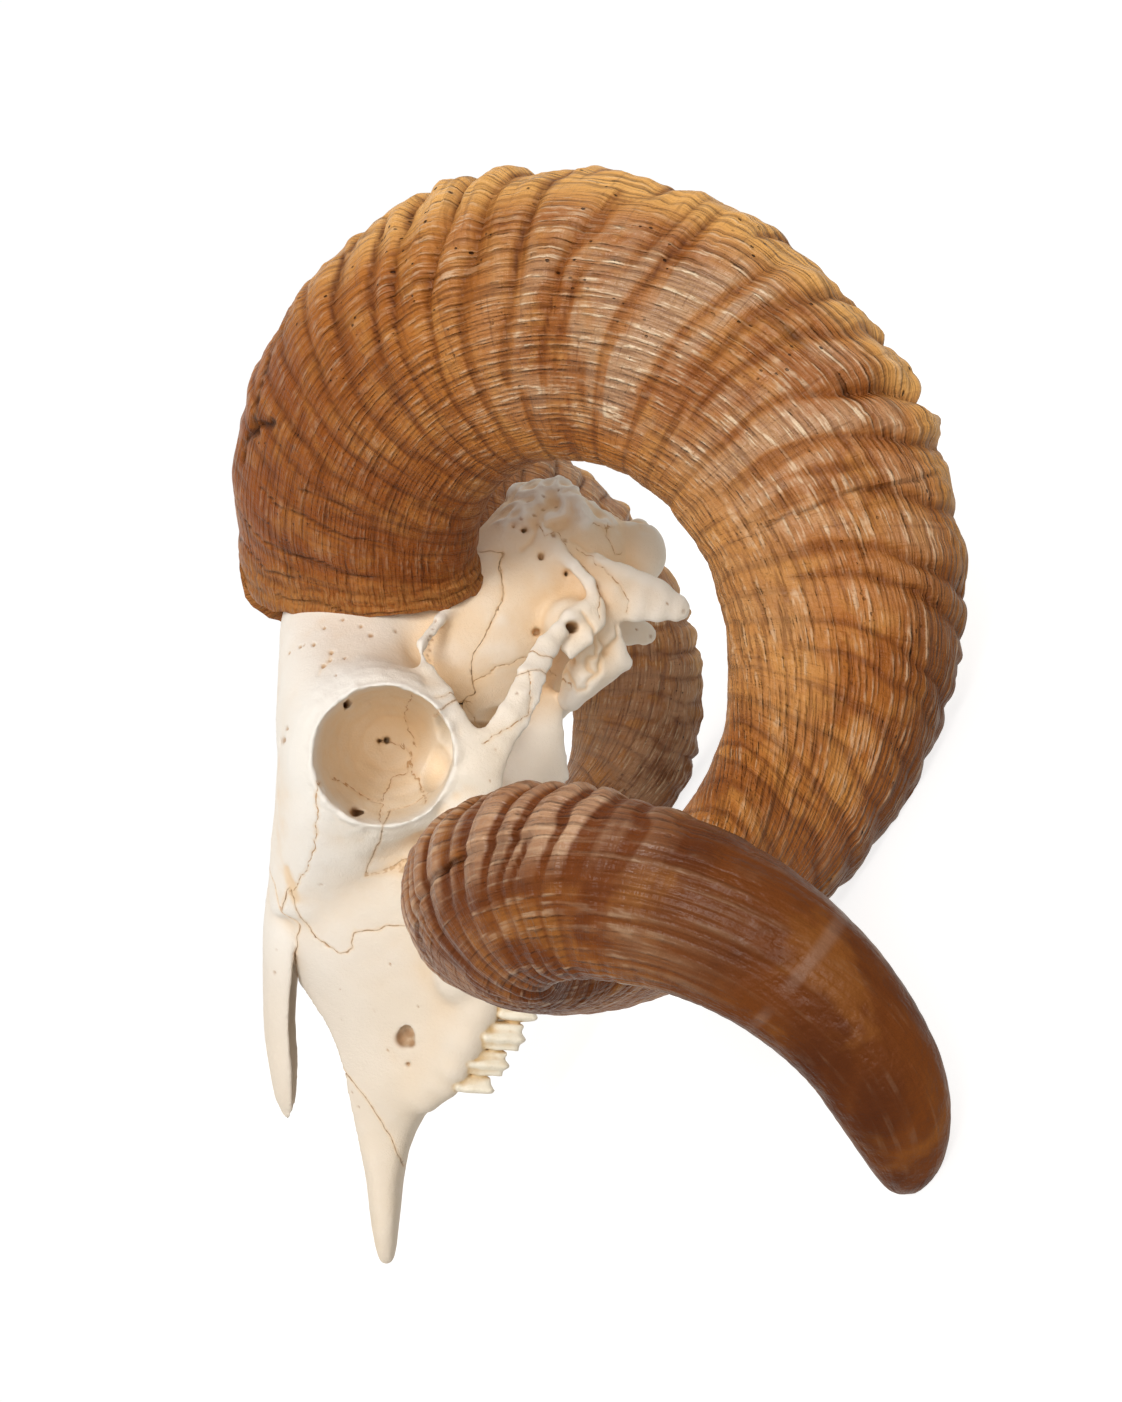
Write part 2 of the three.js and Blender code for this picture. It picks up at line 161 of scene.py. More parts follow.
# %% The floor
FLOOR_RADIUS, JUST_UNDER = 40, 0.0002
FLOOR_GREY, FLOOR_GLOW = 0.4, 0.8
floor_mesh = bpy.data.meshes.new("floor")
shape = bmesh.new()
bmesh.ops.create_circle(shape, cap_ends=True, segments=96, radius=FLOOR_RADIUS)
bmesh.ops.translate(shape, verts=shape.verts, vec=(0, 0, -JUST_UNDER))
shape.to_mesh(floor_mesh)
shape.free()
floor = bpy.data.objects.new("floor", floor_mesh)
bpy.context.scene.collection.objects.link(floor)
floor_finish = bpy.data.materials.new("pale_floor")
floor_finish.use_nodes = True
floor_shader = floor_finish.node_tree.nodes["Principled BSDF"]
floor_shader.inputs["Base Color"].default_value = (FLOOR_GREY, FLOOR_GREY, FLOOR_GREY, 1)
floor_shader.inputs["Roughness"].default_value = 0.95
floor_shader.inputs["Specular IOR Level"].default_value = 0.0
floor_shader.inputs["Emission Color"].default_value = WHITE
floor_shader.inputs["Emission Strength"].default_value = FLOOR_GLOW
floor.visible_diffuse = False
floor.visible_glossy = False
floor_mesh.materials.append(floor_finish)
print("floor faces:", len(floor_mesh.polygons))

# %% [markdown]
# The key lamp stands high on the left, as seen, and shapes the horns' rings.
# The near horn throws the nape into shade, so a broad
# fill stands beside the eye, where nothing is in its way.
# A fill's own mirror image would grey the dark horn, so its shine is turned down.

# %% The lamps


def sky_lamp(name, right, up, back, strength, softness, colour, shine=1.0):
    """A far, soft lamp, given by how far it stands right of, above and in front of the skull, as seen."""
    data = bpy.data.lights.new(name, "SUN")
    data.energy = strength
    data.angle = softness
    data.color = colour
    data.specular_factor = shine
    holder = bpy.data.objects.new(name, data)
    toward_lamp = right * VIEW_RIGHT + up * VIEW_UP + back * VIEW_BACK
    holder.rotation_mode = "QUATERNION"
    holder.rotation_quaternion = Vector(toward_lamp).to_track_quat("Z", "Y")
    bpy.context.scene.collection.objects.link(holder)
    return toward_lamp / np.linalg.norm(toward_lamp)


print("key light comes from", sky_lamp("key", -0.42, 0.3, 0.85, 1.74, 0.4, (1, 0.98, 0.95)).round(2))
print("fill light comes from", sky_lamp("fill", 0.04, -0.06, 1, 1.34, 0.5, (1, 0.965, 0.915), 0.15).round(2))

# %% [markdown]
# ## The horn's path
# A ram's horn is a spiral that widens, steps sideways and twists as it
# grows: the tip is the lamb's first horn, the base the last year's.
# Four settings for each value along the horn, with one smooth
# curve through them, give the same spiral as the frame.
# A section is an oval, a little fuller towards the outer edge of the coil, and the tip is blunt.

# %% The spiral
AXIS = np.array([1, -0.73, 0.23])
AXIS /= np.linalg.norm(AXIS)
COIL_AT = np.array([47.0, 74, -37])
BASE_SHARE, TIP_SHARE, LEAN = 0.017, 0.965, 0.006
TURNING = (-30.5, 136.5, 306, 541)
COIL = (122.7, 50.7, 30.2, 42.6)
SIDEWAYS = (0, 113.8, 219, 294.8)
WIDE = (48.9, 33.3, 23.4, 7.8)
THICK = (30, 22, 14.5, 9)
ACROSS_DOWN = np.array([0, 0, 1]) - AXIS * AXIS[2]
ACROSS_DOWN /= np.linalg.norm(ACROSS_DOWN)
ACROSS_UP = np.cross(ACROSS_DOWN, AXIS)


def along(four, s):
    """A smooth value along the horn from its four settings."""
    a, b, c, d = four
    t = 3 * s
    return (a * (1 - t) * (2 - t) * (3 - t) / 6 + b * t * (2 - t) * (3 - t) / 2
            - c * t * (1 - t) * (3 - t) / 2 + d * t * (1 - t) * (2 - t) / 6)


def outward(s):
    angle = np.radians(along(TURNING, s))[:, None]
    return np.cos(angle) * ACROSS_DOWN + np.sin(angle) * ACROSS_UP


def centre_line(s):
    return COIL_AT + outward(s) * along(COIL, s)[:, None] + AXIS * along(SIDEWAYS, s)[:, None]


def unit(vectors):
    return vectors / np.linalg.norm(vectors, axis=-1, keepdims=True)


def horn_surface(s, angle, grow=0.0):
    """Points of the sheath at shares s and angles round it, moved out by grow millimetres."""
    run = unit(centre_line(s + 1e-4) - centre_line(s - 1e-4))
    out = outward(s)
    out = unit(out - run * (out * run).sum(1, keepdims=True))
    side = np.cross(run, out)
    twist = np.radians(-25 - 18.5 * s)[:, None]
    wide = np.cos(twist) * out + np.sin(twist) * side
    thick = np.cos(twist) * side - np.sin(twist) * out
    to_tip = np.clip((s - TIP_SHARE) / (1.0005 - TIP_SHARE), 0, 1)
    blunt = np.sqrt(1 - to_tip ** 2)
    a = along(WIDE, s) * blunt
    b = along(THICK, s) * blunt
    c, d = np.cos(angle), np.sin(angle)
    middle = centre_line(s)
    arm = wide * (a * c)[:, None] + thick * (b * d * (1 + 0.22 * c))[:, None]
    normal = unit(wide * (c / np.maximum(a, 1))[:, None] + thick * (d / np.maximum(b, 1))[:, None])
    grow = np.broadcast_to(grow, s.shape)
    return middle + arm + normal * (grow * blunt)[:, None]


shares = np.linspace(0, 1, 2001)
outer = horn_surface(shares, np.zeros(2001))
outer_length = np.concatenate([[0], np.cumsum(np.linalg.norm(np.diff(outer, axis=0), axis=1))])
print("outer edge of a horn:", round(outer_length[-1]), "mm")

# %% [markdown]
# ## Growth rings
# A ram lays down horn in waves, so rounded rings with narrow creases between them go round the sheath.
# They stand highest on the outer edge, lean over towards the tip there, and fade on the inner edge.
# The rings of the lamb's horn are close together, and the last stretch and the tip are worn smooth.
# A wave of equal rings would look turned on a lathe, so two rows
# of unequal rings are mixed in patches, which makes them fork.

# %% Soft noise


def noise(points, cell, seed):
    """Soft random values from -1 to 1 at points, in blobs about one cell across."""
    points = np.asarray(points, float) / cell
    base = np.floor(points).astype(np.int64)
    part = points - base
    part = part * part * (3 - 2 * part)
    total = np.zeros(points.shape[:-1])
    for corner in range(8):
        step = np.array([corner & 1, corner >> 1 & 1, corner >> 2 & 1])
        i, j, k = np.moveaxis(base + step, -1, 0)
        mixed = (i * 73856093) ^ (j * 19349663) ^ (k * 83492791) ^ (seed * 2654435761 % 2 ** 31)
        mixed = (mixed ^ (mixed >> 13)) * 1274126177 & 0xFFFFFFFF
        value = ((mixed ^ (mixed >> 16)) & 0xFFFF) / 32767.5 - 1
        total += value * np.prod(np.where(step, part, 1 - part), axis=-1)
    return total


def ramp(x, low, high):
    """0 below low, 1 above high and a soft step between."""
    t = np.clip((x - low) / (high - low), 0, 1)
    return t * t * (3 - 2 * t)


print("noise at three points:", noise([[0, 0, 0], [5, 5, 5], [9, 2, 7]], 4, 1).round(2))

# %% Distance from a drawn line


def line_distance(u, v, line, closed=False):
    """Distance on a flat sheet from a line of (u, v) points. A closed line is negative inside."""
    points = line + line[:1] if closed else line
    best = np.full(np.broadcast(u, v).shape, 1e9)
    inside = np.zeros(best.shape, bool)
    for (u0, v0), (u1, v1) in zip(points[:-1], points[1:]):
        run = (u1 - u0) ** 2 + (v1 - v0) ** 2
        t = np.clip(((u - u0) * (u1 - u0) + (v - v0) * (v1 - v0)) / run, 0, 1)
        best = np.minimum(best, np.hypot(u - u0 - t * (u1 - u0), v - v0 - t * (v1 - v0)))
        if closed and v0 != v1:
            crosses = (v0 > v) != (v1 > v)
            inside ^= crosses & (u < (u1 - u0) * (v - v0) / (v1 - v0) + u0)
    return np.where(inside, -best, best) if closed else best


print("from a line:", line_distance(np.array([1.0, 3.0]), np.array([1.0, 4.0]), [(0, 0), (3, 0)]))

# %% Rows of unequal rings
RING_AT = [0, 60, 110, 160, 220, 300, 380, 460, 560, 630, 710, 800]
RING_GAP = [20, 17, 14, 16, 19, 18, 15, 13, 9.5, 6.0, 6.8, 10]


def ring_row(seed, share=1.0):
    """The creases of one row of rings, by their place on the outer edge in millimetres."""
    pick = np.random.default_rng(seed)
    creases = [-25.0]
    while creases[-1] < 830:
        here = creases[-1]
        usual = np.interp(here, RING_AT, RING_GAP)
        creases.append(here + usual * share * pick.uniform(0.65, 1.4))
    return np.array(creases), pick.uniform(0.6, 1.15, len(creases))


def rings(place, row, peak=0.5, roundness=2.3):
    """Height from 0 in a crease to about 1 on a ring, and how near the crease is."""
    creases, heights = row
    i = np.clip(np.searchsorted(creases, place) - 1, 0, len(creases) - 2)
    t = (place - creases[i]) / (creases[i + 1] - creases[i])
    from_peak = np.where(t < peak, 1 - t / peak, (t - peak) / (1 - peak))
    from_crease = np.minimum(place - creases[i], creases[i + 1] - place)
    return (1 - from_peak ** roundness) * heights[i], np.exp(-(from_crease / 0.6) ** 2)


ROWS = [ring_row(11), ring_row(23), ring_row(5, 0.42)]
print("rings in each row:", [len(row[0]) for row in ROWS])

# %% [markdown]
# ## The sheath
# Each sheath starts as a straight tube: a fine grid rolled
# up, merged along its seam, and closed at both ends.
# The tube's own coordinates then say how far along and how far round
# each vertex is, and the vertex is moved to its place on the spiral.
# The same two numbers carry the rings, cracks and knobs,
# and stay on the mesh as attributes for the colours.

# %% A straight tube
STEPS, AROUND = ((800, 118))


def straight_tube(name):
    """A closed tube of radius 1 from z = 0 to z = 1, whose base turns in to a lip."""
    tube = bmesh.new()
    bmesh.ops.create_grid(tube, x_segments=AROUND, y_segments=STEPS, size=1)
    for v in tube.verts:
        turn, height = math.pi * v.co.x, (v.co.y + 1) / 2
        v.co = (math.cos(turn), math.sin(turn), height)
    bmesh.ops.remove_doubles(tube, verts=tube.verts, dist=1e-5)
    tip = [v for v in tube.verts if v.co.z > 1 - 0.5 / STEPS]
    bmesh.ops.contextual_create(tube, geom=tip)
    rim = [e for e in tube.edges if e.is_boundary]
    for size in (0.93, 0.86, 0.84):
        drawn = bmesh.ops.extrude_edge_only(tube, edges=rim)["geom"]
        inner = [g for g in drawn if isinstance(g, bmesh.types.BMVert)]
        rim = [g for g in drawn if isinstance(g, bmesh.types.BMEdge)]
        for v in inner:
            v.co.xy = v.co.xy.normalized() * size
    bmesh.ops.contextual_create(tube, geom=inner)
    bmesh.ops.recalc_face_normals(tube, faces=tube.faces)
    mesh = bpy.data.meshes.new(name)
    tube.to_mesh(mesh)
    tube.free()
    return mesh


def read_points(mesh):
    flat = np.empty(len(mesh.vertices) * 3, np.float32)
    mesh.vertices.foreach_get("co", flat)
    return flat.reshape(-1, 3).astype(float)


def write_points(mesh, points):
    mesh.vertices.foreach_set("co", np.ascontiguousarray(points, np.float32).ravel())
    mesh.update()


def keep(mesh, name, values):
    """Keeps one value, or three, for each vertex of a mesh, for its material."""
    values = np.ascontiguousarray(values, np.float32)
    kind, field = ("FLOAT", "value") if values.ndim == 1 else ("FLOAT_VECTOR", "vector")
    mesh.attributes.new(name, kind, "POINT").data.foreach_set(field, values.ravel())


# %% [markdown]
# Three rows of numbers say how the relief changes from the base, share 0, to the tip, share 1:
# how high the rings stand in millimetres, how much of that height goes
# all the way round to the inner edge, and how knobbly the outer edge is.

# %% Relief of the sheath
RING_HEIGHT = ([0, 0.05, 0.09, 0.14, 0.25, 0.36, 0.45, 0.6, 0.76, 0.85, 0.88, 0.92, 1],
               [0.35, 0.5, 1.3, 3.3, 3.4, 2.0, 1.0, 0.9, 1.35, 1.5, 0.8, 0.12, 0])
RING_ROUND = ([0, 0.1, 0.3, 0.45, 0.6, 0.75, 1], [0.4, 0.14, 0.10, 0.12, 0.3, 0.42, 0.5])
KNOBS = ([0, 0.08, 0.14, 0.5, 0.75, 0.9], [0.3, 0.5, 1, 0.8, 0.4, 0])


def sheath_relief(s, angle, place, seed):
    """How far the surface stands out in millimetres, with its ring height and creases."""
    round_it = np.stack([place, 30 * np.cos(angle), 30 * np.sin(angle)], -1)
    outer_edge = (1 + np.cos(angle)) / 2
    early = ramp(s, 0.62, 0.5)
    wave = (2.0 + 1.6 * early) * noise(round_it, 30, seed) + 1.9 * noise(round_it, 10, seed + 1)
    wave = wave * np.interp(s, [0, 0.6, 0.75, 1], [1, 1, 0.35, 0.4])
    lean_over = (4 + 9 * early) * ramp(np.cos(angle), -0.4, 0.95)
    lean_over = lean_over + 1.5 * noise(round_it, 14, seed + 9) * outer_edge
    moved = place - lean_over + wave
    peak = np.interp(s, [0, 0.1, 0.17, 0.24, 1], [0.6, 0.75, 0.74, 0.62, 0.55])
    high_a, crease_a = rings(moved, ROWS[0], peak)
    high_b, crease_b = rings(moved + 4, ROWS[1], peak)
    high_c, crease_c = rings(moved + 1.5 * wave, ROWS[2])
    fork = ramp(noise(round_it, 38, seed + 2), -0.12, 0.12)
    high = high_a * (1 - fork) + high_b * fork
    crease = crease_a * (1 - fork) + crease_b * fork
    size = np.interp(s, *RING_HEIGHT)
    even = np.interp(s, *RING_ROUND)
    size = size * (even + (1 - even) * ramp(np.cos(angle), -0.4, 0.9))
    size = size * np.clip(0.95 + 0.9 * noise(round_it, 26, seed + 3), 0.25, 1.7)
    out = size * (high - 0.62) + (0.08 + 0.15 * size) * (high_c - 0.6)
    knob = ramp(outer_edge, 0.8, 0.97) * np.interp(s, *KNOBS)
    out = out + knob * (1.3 * noise(round_it, 9, seed + 4) + 0.75 * noise(round_it, 4.2, seed + 5))
    out = out + 0.8 * noise(round_it, 18, seed + 6) * np.interp(s, [0, 0.85, 1], [1, 0.7, 0.5])
    fibres = np.stack([place * 0.12, 30 * np.cos(angle), 30 * np.sin(angle)], -1)
    out = out + (0.2 * noise(fibres, 2.4, seed + 7) + 0.2 * noise(fibres, 5.5, seed + 10)) * np.interp(
        s, [0, 0.5, 0.7, 0.95], [1, 1, 0.8, 0])
    crease = crease * np.clip(size / 1.3, 0, 1) * ramp(noise(round_it, 13, seed + 8), -0.35, 0.25)
    return out, np.clip(high + 0.25 * (high_c - 0.6), 0, 1), crease


def near_line(place, angle, girth, line):
    """Distance in millimetres from a line of (place, degrees round) points drawn on the sheath."""
    reach = float(np.median(girth))
    return line_distance(place, angle * reach, [(p, math.radians(a) * reach) for p, a in line])


print("relief and cracks ready")

# %% [markdown]
# Drying horn splits. A crack is a line of places: how
# far along the outer edge, and how far round in degrees.
# Before each line stand the crack's half width and depth in millimetres, and how dark it is.
# One long groove near the tip marks where two years' horn meet.

# %% Cracks
CRACKS = [
    (0.75, 1.6, 1.0, [(84, 47), (90, 44), (96, 47), (101, 50), (107, 55)]),
    (1.5, 2.2, 1.0, [(100, 50), (103, 52)]),
    (0.8, 1.1, 1.0, [(107, 55), (110, 60), (114, 62)]),
    (0.7, 1.0, 0.9, [(103, 50), (114, 44), (124, 36), (131, 33), (139, 31)]),
    (0.5, 0.45, 0.75, [(57, 20), (61, 50), (60, 62), (58, 75), (61, 92), (57, 104), (58, 118)]),
    (0.5, 0.4, 0.7, [(84, 60), (80, 74), (85, 90), (82, 104), (86, 122)]),
    (0.5, 0.4, 0.7, [(42, 30), (46, 48), (44, 66), (47, 82)]),
    (0.5, 0.4, 0.6, [(33, 70), (36, 88), (34, 110), (37, 130)]),
    (0.4, 0.35, 0.6, [(96, 84), (100, 96), (99, 112)]),
    (0.45, 0.4, 0.7, [(322, 62), (334, 64), (348, 62), (360, 65)]),
    (0.45, 0.4, 0.6, [(352, 50), (366, 49), (381, 51)]),
    (0.7, 0.5, 0.5, [(386, 40), (388, 70), (387, 100), (389, 126)]),
]
LATE_GROOVE = [(636, 96), (646, 80), (658, 70), (672, 66), (690, 63), (704, 62)]
print("cracks:", len(CRACKS))

# %% [markdown]
# The rim over the bone is chipped, and shows the ends of three layers of horn as ragged steps.
# Where the two sheaths nearly meet on the forehead, each is pressed flat a few millimetres from the middle.

# %% Wrap a tube onto the spiral
FROM_MIDDLE = 4


def wrap_sheath(name, seed):
    """The left sheath in skull millimetres, with what its colours need."""
    mesh = straight_tube(name)
    at = read_points(mesh)
    radius = np.hypot(at[:, 0], at[:, 1])
    angle = np.arctan2(at[:, 1], at[:, 0])
    inside = radius < 0.97
    s = BASE_SHARE + (1 - BASE_SHARE) * at[:, 2] ** 1.2
    s = s - LEAN * np.cos(angle) * np.clip((0.1 - s) / (0.1 - BASE_SHARE), 0, 1)
    place = np.interp(s, shares, outer_length)
    girth = along(WIDE, s) * 0.8
    out, high, crease = sheath_relief(s, angle, place, seed)
    from_rim = (s - BASE_SHARE + LEAN * np.cos(angle)) * 900
    round_only = np.stack([0 * s, 30 * np.cos(angle), 30 * np.sin(angle)], -1)
    ragged = 2.2 * noise(round_only, 8, seed + 20)
    layers = 0.9 * ramp(from_rim + ragged, 3.2, 2.2) + 0.7 * ramp(from_rim + 1.6 * ragged, 7.5, 6.2)
    layers = layers + 0.6 * ramp(from_rim - ragged, 13, 10.5)
    steps = np.exp(-((from_rim + ragged - 3.7) / 0.5) ** 2)
    steps = steps + 0.8 * np.exp(-((from_rim + 1.6 * ragged - 8.0) / 0.6) ** 2)
    chipped = noise(round_only, 3.2, seed + 21)
    s = s + (0.0022 * ragged / 2.2 + 0.0012 * chipped) * ramp(from_rim, 24, 0)
    out = out + (layers - 0.9) * ramp(from_rim, 22, 10)
    crack = 0.6 * steps * ramp(chipped, -0.3, 0.5) * ~inside
    for i, (width, depth, dark, line) in enumerate(CRACKS):
        wander = place + 1.3 * noise(np.stack([place, 30 * angle, 0 * s], -1), 5, seed + 30 + i)
        near = np.exp(-(near_line(wander, angle, girth, line) / width) ** 2)
        out = out - depth * near
        crack = np.maximum(crack, near * dark)
    wander = place + 0.8 * noise(np.stack([place, 30 * angle, 0 * s], -1), 6, seed + 50)
    late = np.exp(-(near_line(wander, angle, girth, LATE_GROOVE) / 0.8) ** 2)
    out = out - 0.7 * late
    crack = np.maximum(crack, 0.55 * late)
    points = horn_surface(s, angle, out)
    if inside.any():
        hub = centre_line(s[inside])
        rim = horn_surface(s[inside], angle[inside], -0.5)
        points[inside] = hub + (rim - hub) * radius[inside][:, None]
        run = unit(centre_line(s[inside] + 1e-4) - centre_line(s[inside] - 1e-4))
        points[inside] += run * (4.0 * ramp(radius[inside], 0.93, 0.85))[:, None]
    press = points[:, 0] < FROM_MIDDLE
    points[press, 0] = FROM_MIDDLE + (points[press, 0] - FROM_MIDDLE) * 0.06
    straight = np.stack([place, along(WIDE, s) * np.cos(angle), along(THICK, s) * np.sin(angle)], -1)
    keep(mesh, "straight", straight / 1000)
    keep(mesh, "age", s)
    keep(mesh, "high", high)
    keep(mesh, "crease", crease)
    keep(mesh, "crack", crack)
    keep(mesh, "outer_edge", (1 + np.cos(angle)) / 2)
    keep(mesh, "inner_face", ramp(-np.sin(angle), 0.1, 0.8))
    keep(mesh, "layer", np.clip(layers, 0, 1) * ramp(from_rim, 20, 10))
    write_points(mesh, points)
    return mesh


SHARP_EDGE = math.radians(58)


def put_on_table(mesh, side=1):
    """Skull millimetres to the table, mirrored for the right side, with nothing under the table."""
    points = read_points(mesh) * [side, 1, 1]
    if side < 0:
        mesh.flip_normals()
    points = on_table(points)
    points[:, 2] = np.maximum(points[:, 2], 0.0)
    write_points(mesh, points)
    mesh.shade_smooth()
    mesh.set_sharp_from_angle(angle=SHARP_EDGE)


def show(name, mesh, finish, nodes):
    """Makes the object of a finished mesh, which takes the place of the frame's nodes."""
    piece = bpy.data.objects.new(name, mesh)
    bpy.context.scene.collection.objects.link(piece)
    mesh.materials.append(finish)
    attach(piece, "root")
    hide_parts(*nodes)
    print(name, len(mesh.polygons), "faces", piece.dimensions[:])
    return piece


sheath_left = wrap_sheath("sheath_left", 100)
sheath_right = wrap_sheath("sheath_right", 400)
print("sheath:", len(sheath_left.vertices), "vertices")

# %% [markdown]
# ## Horn
# Horn is honey brown, darker and redder at the base and the tip, paler on the worn rings of the outer edge.
# Fine fibres about a millimetre apart run along it, and growth
# lines run across it. Painted shade darkens the creases and the low ground between the rings.
# The middle of the first turn is weathered grey and shiny, partly a painted sheen on its ring crests,
# and painted highlights break along its fibres into short pale dashes. The later ring crests carry a painted
# grey sheen.
# An image could be wrapped round the horn, but it would smear where the spiral tightens.
# So the patterns read straightened coordinates kept on
# the mesh, which bend with the spiral and never slide.

# %% Node helpers


class Wiring:
    """Short names for the nodes of one material."""

    def __init__(self, name):
        self.material = bpy.data.materials.new(name)
        self.material.use_nodes = True
        self.tree = self.material.node_tree
        self.shader = self.tree.nodes["Principled BSDF"]

    def node(self, kind, **settings):
        made = self.tree.nodes.new("ShaderNode" + kind)
        for key, value in settings.items():
            setattr(made, key, value)
        return made

    def link(self, value, socket):
        if isinstance(value, bpy.types.NodeSocket):
            self.tree.links.new(value, socket)
        elif isinstance(value, tuple) and len(value) == 3 and socket.type == "RGBA":
            socket.default_value = (*value, 1)
        else:
            socket.default_value = value

    def kept(self, name, vector=False):
        """A value that was kept on the mesh."""
        made = self.node("Attribute", attribute_name=name)
        return made.outputs["Vector" if vector else "Fac"]

    def math(self, how, a, b=0.0, c=0.0, clamp=False):
        made = self.node("Math", operation=how, use_clamp=clamp)
        for socket, value in zip(made.inputs, (a, b, c)):
            self.link(value, socket)
        return made.outputs[0]

    def times(self, *values):
        """The product of two values or more."""
        total = values[0]
        for value in values[1:]:
            total = self.math("MULTIPLY", total, value)
        return total

    def scaled(self, vector, scale):
        made = self.node("VectorMath", operation="MULTIPLY")
        self.link(vector, made.inputs[0])
        self.link(scale, made.inputs[1])
        return made.outputs[0]

    def speckle(self, vector, detail=3.0, rough=0.55, twist=0.0):
        """Noise from 0 to 1, whose blobs are about one unit of the vector across."""
        made = self.node("TexNoise", noise_dimensions="3D")
        self.link(vector, made.inputs["Vector"])
        made.inputs["Scale"].default_value = 1.0
        made.inputs["Detail"].default_value = detail
        made.inputs["Roughness"].default_value = rough
        made.inputs["Distortion"].default_value = twist
        return made.outputs["Fac"]

    def spots(self, vector, size):
        """1 in the middle of scattered spots, 0 between them."""
        made = self.node("TexVoronoi", feature="F1")
        self.link(vector, made.inputs["Vector"])
        made.inputs["Scale"].default_value = 1.0
        return self.step(made.outputs["Distance"], size, size * 0.4)

    def step(self, value, low, high, bottom=0.0, top=1.0):
        """A soft step from bottom at low to top at high."""
        made = self.node("MapRange", interpolation_type="SMOOTHSTEP")
        settings = {"Value": value, "From Min": low, "From Max": high, "To Min": bottom, "To Max": top}
        for key, setting in settings.items():
            self.link(setting, made.inputs[key])
        return made.outputs[0]

    def mix(self, share, first, second):
        """The second colour laid over the first."""
        made = self.node("Mix", data_type="RGBA")
        self.link(share, made.inputs["Factor"])
        self.link(first, made.inputs[6])
        self.link(second, made.inputs[7])
        return made.outputs[2]

    def bump(self, height, distance, before=None):
        """Turns a height from 0 to 1 into a relief of that many metres."""
        made = self.node("Bump")
        made.inputs["Strength"].default_value = 1.0
        made.inputs["Distance"].default_value = distance
        self.link(height, made.inputs["Height"])
        if before is not None:
            self.link(before, made.inputs["Normal"])
        return made.outputs[0]


print("node helpers ready")

# %% The horn finish


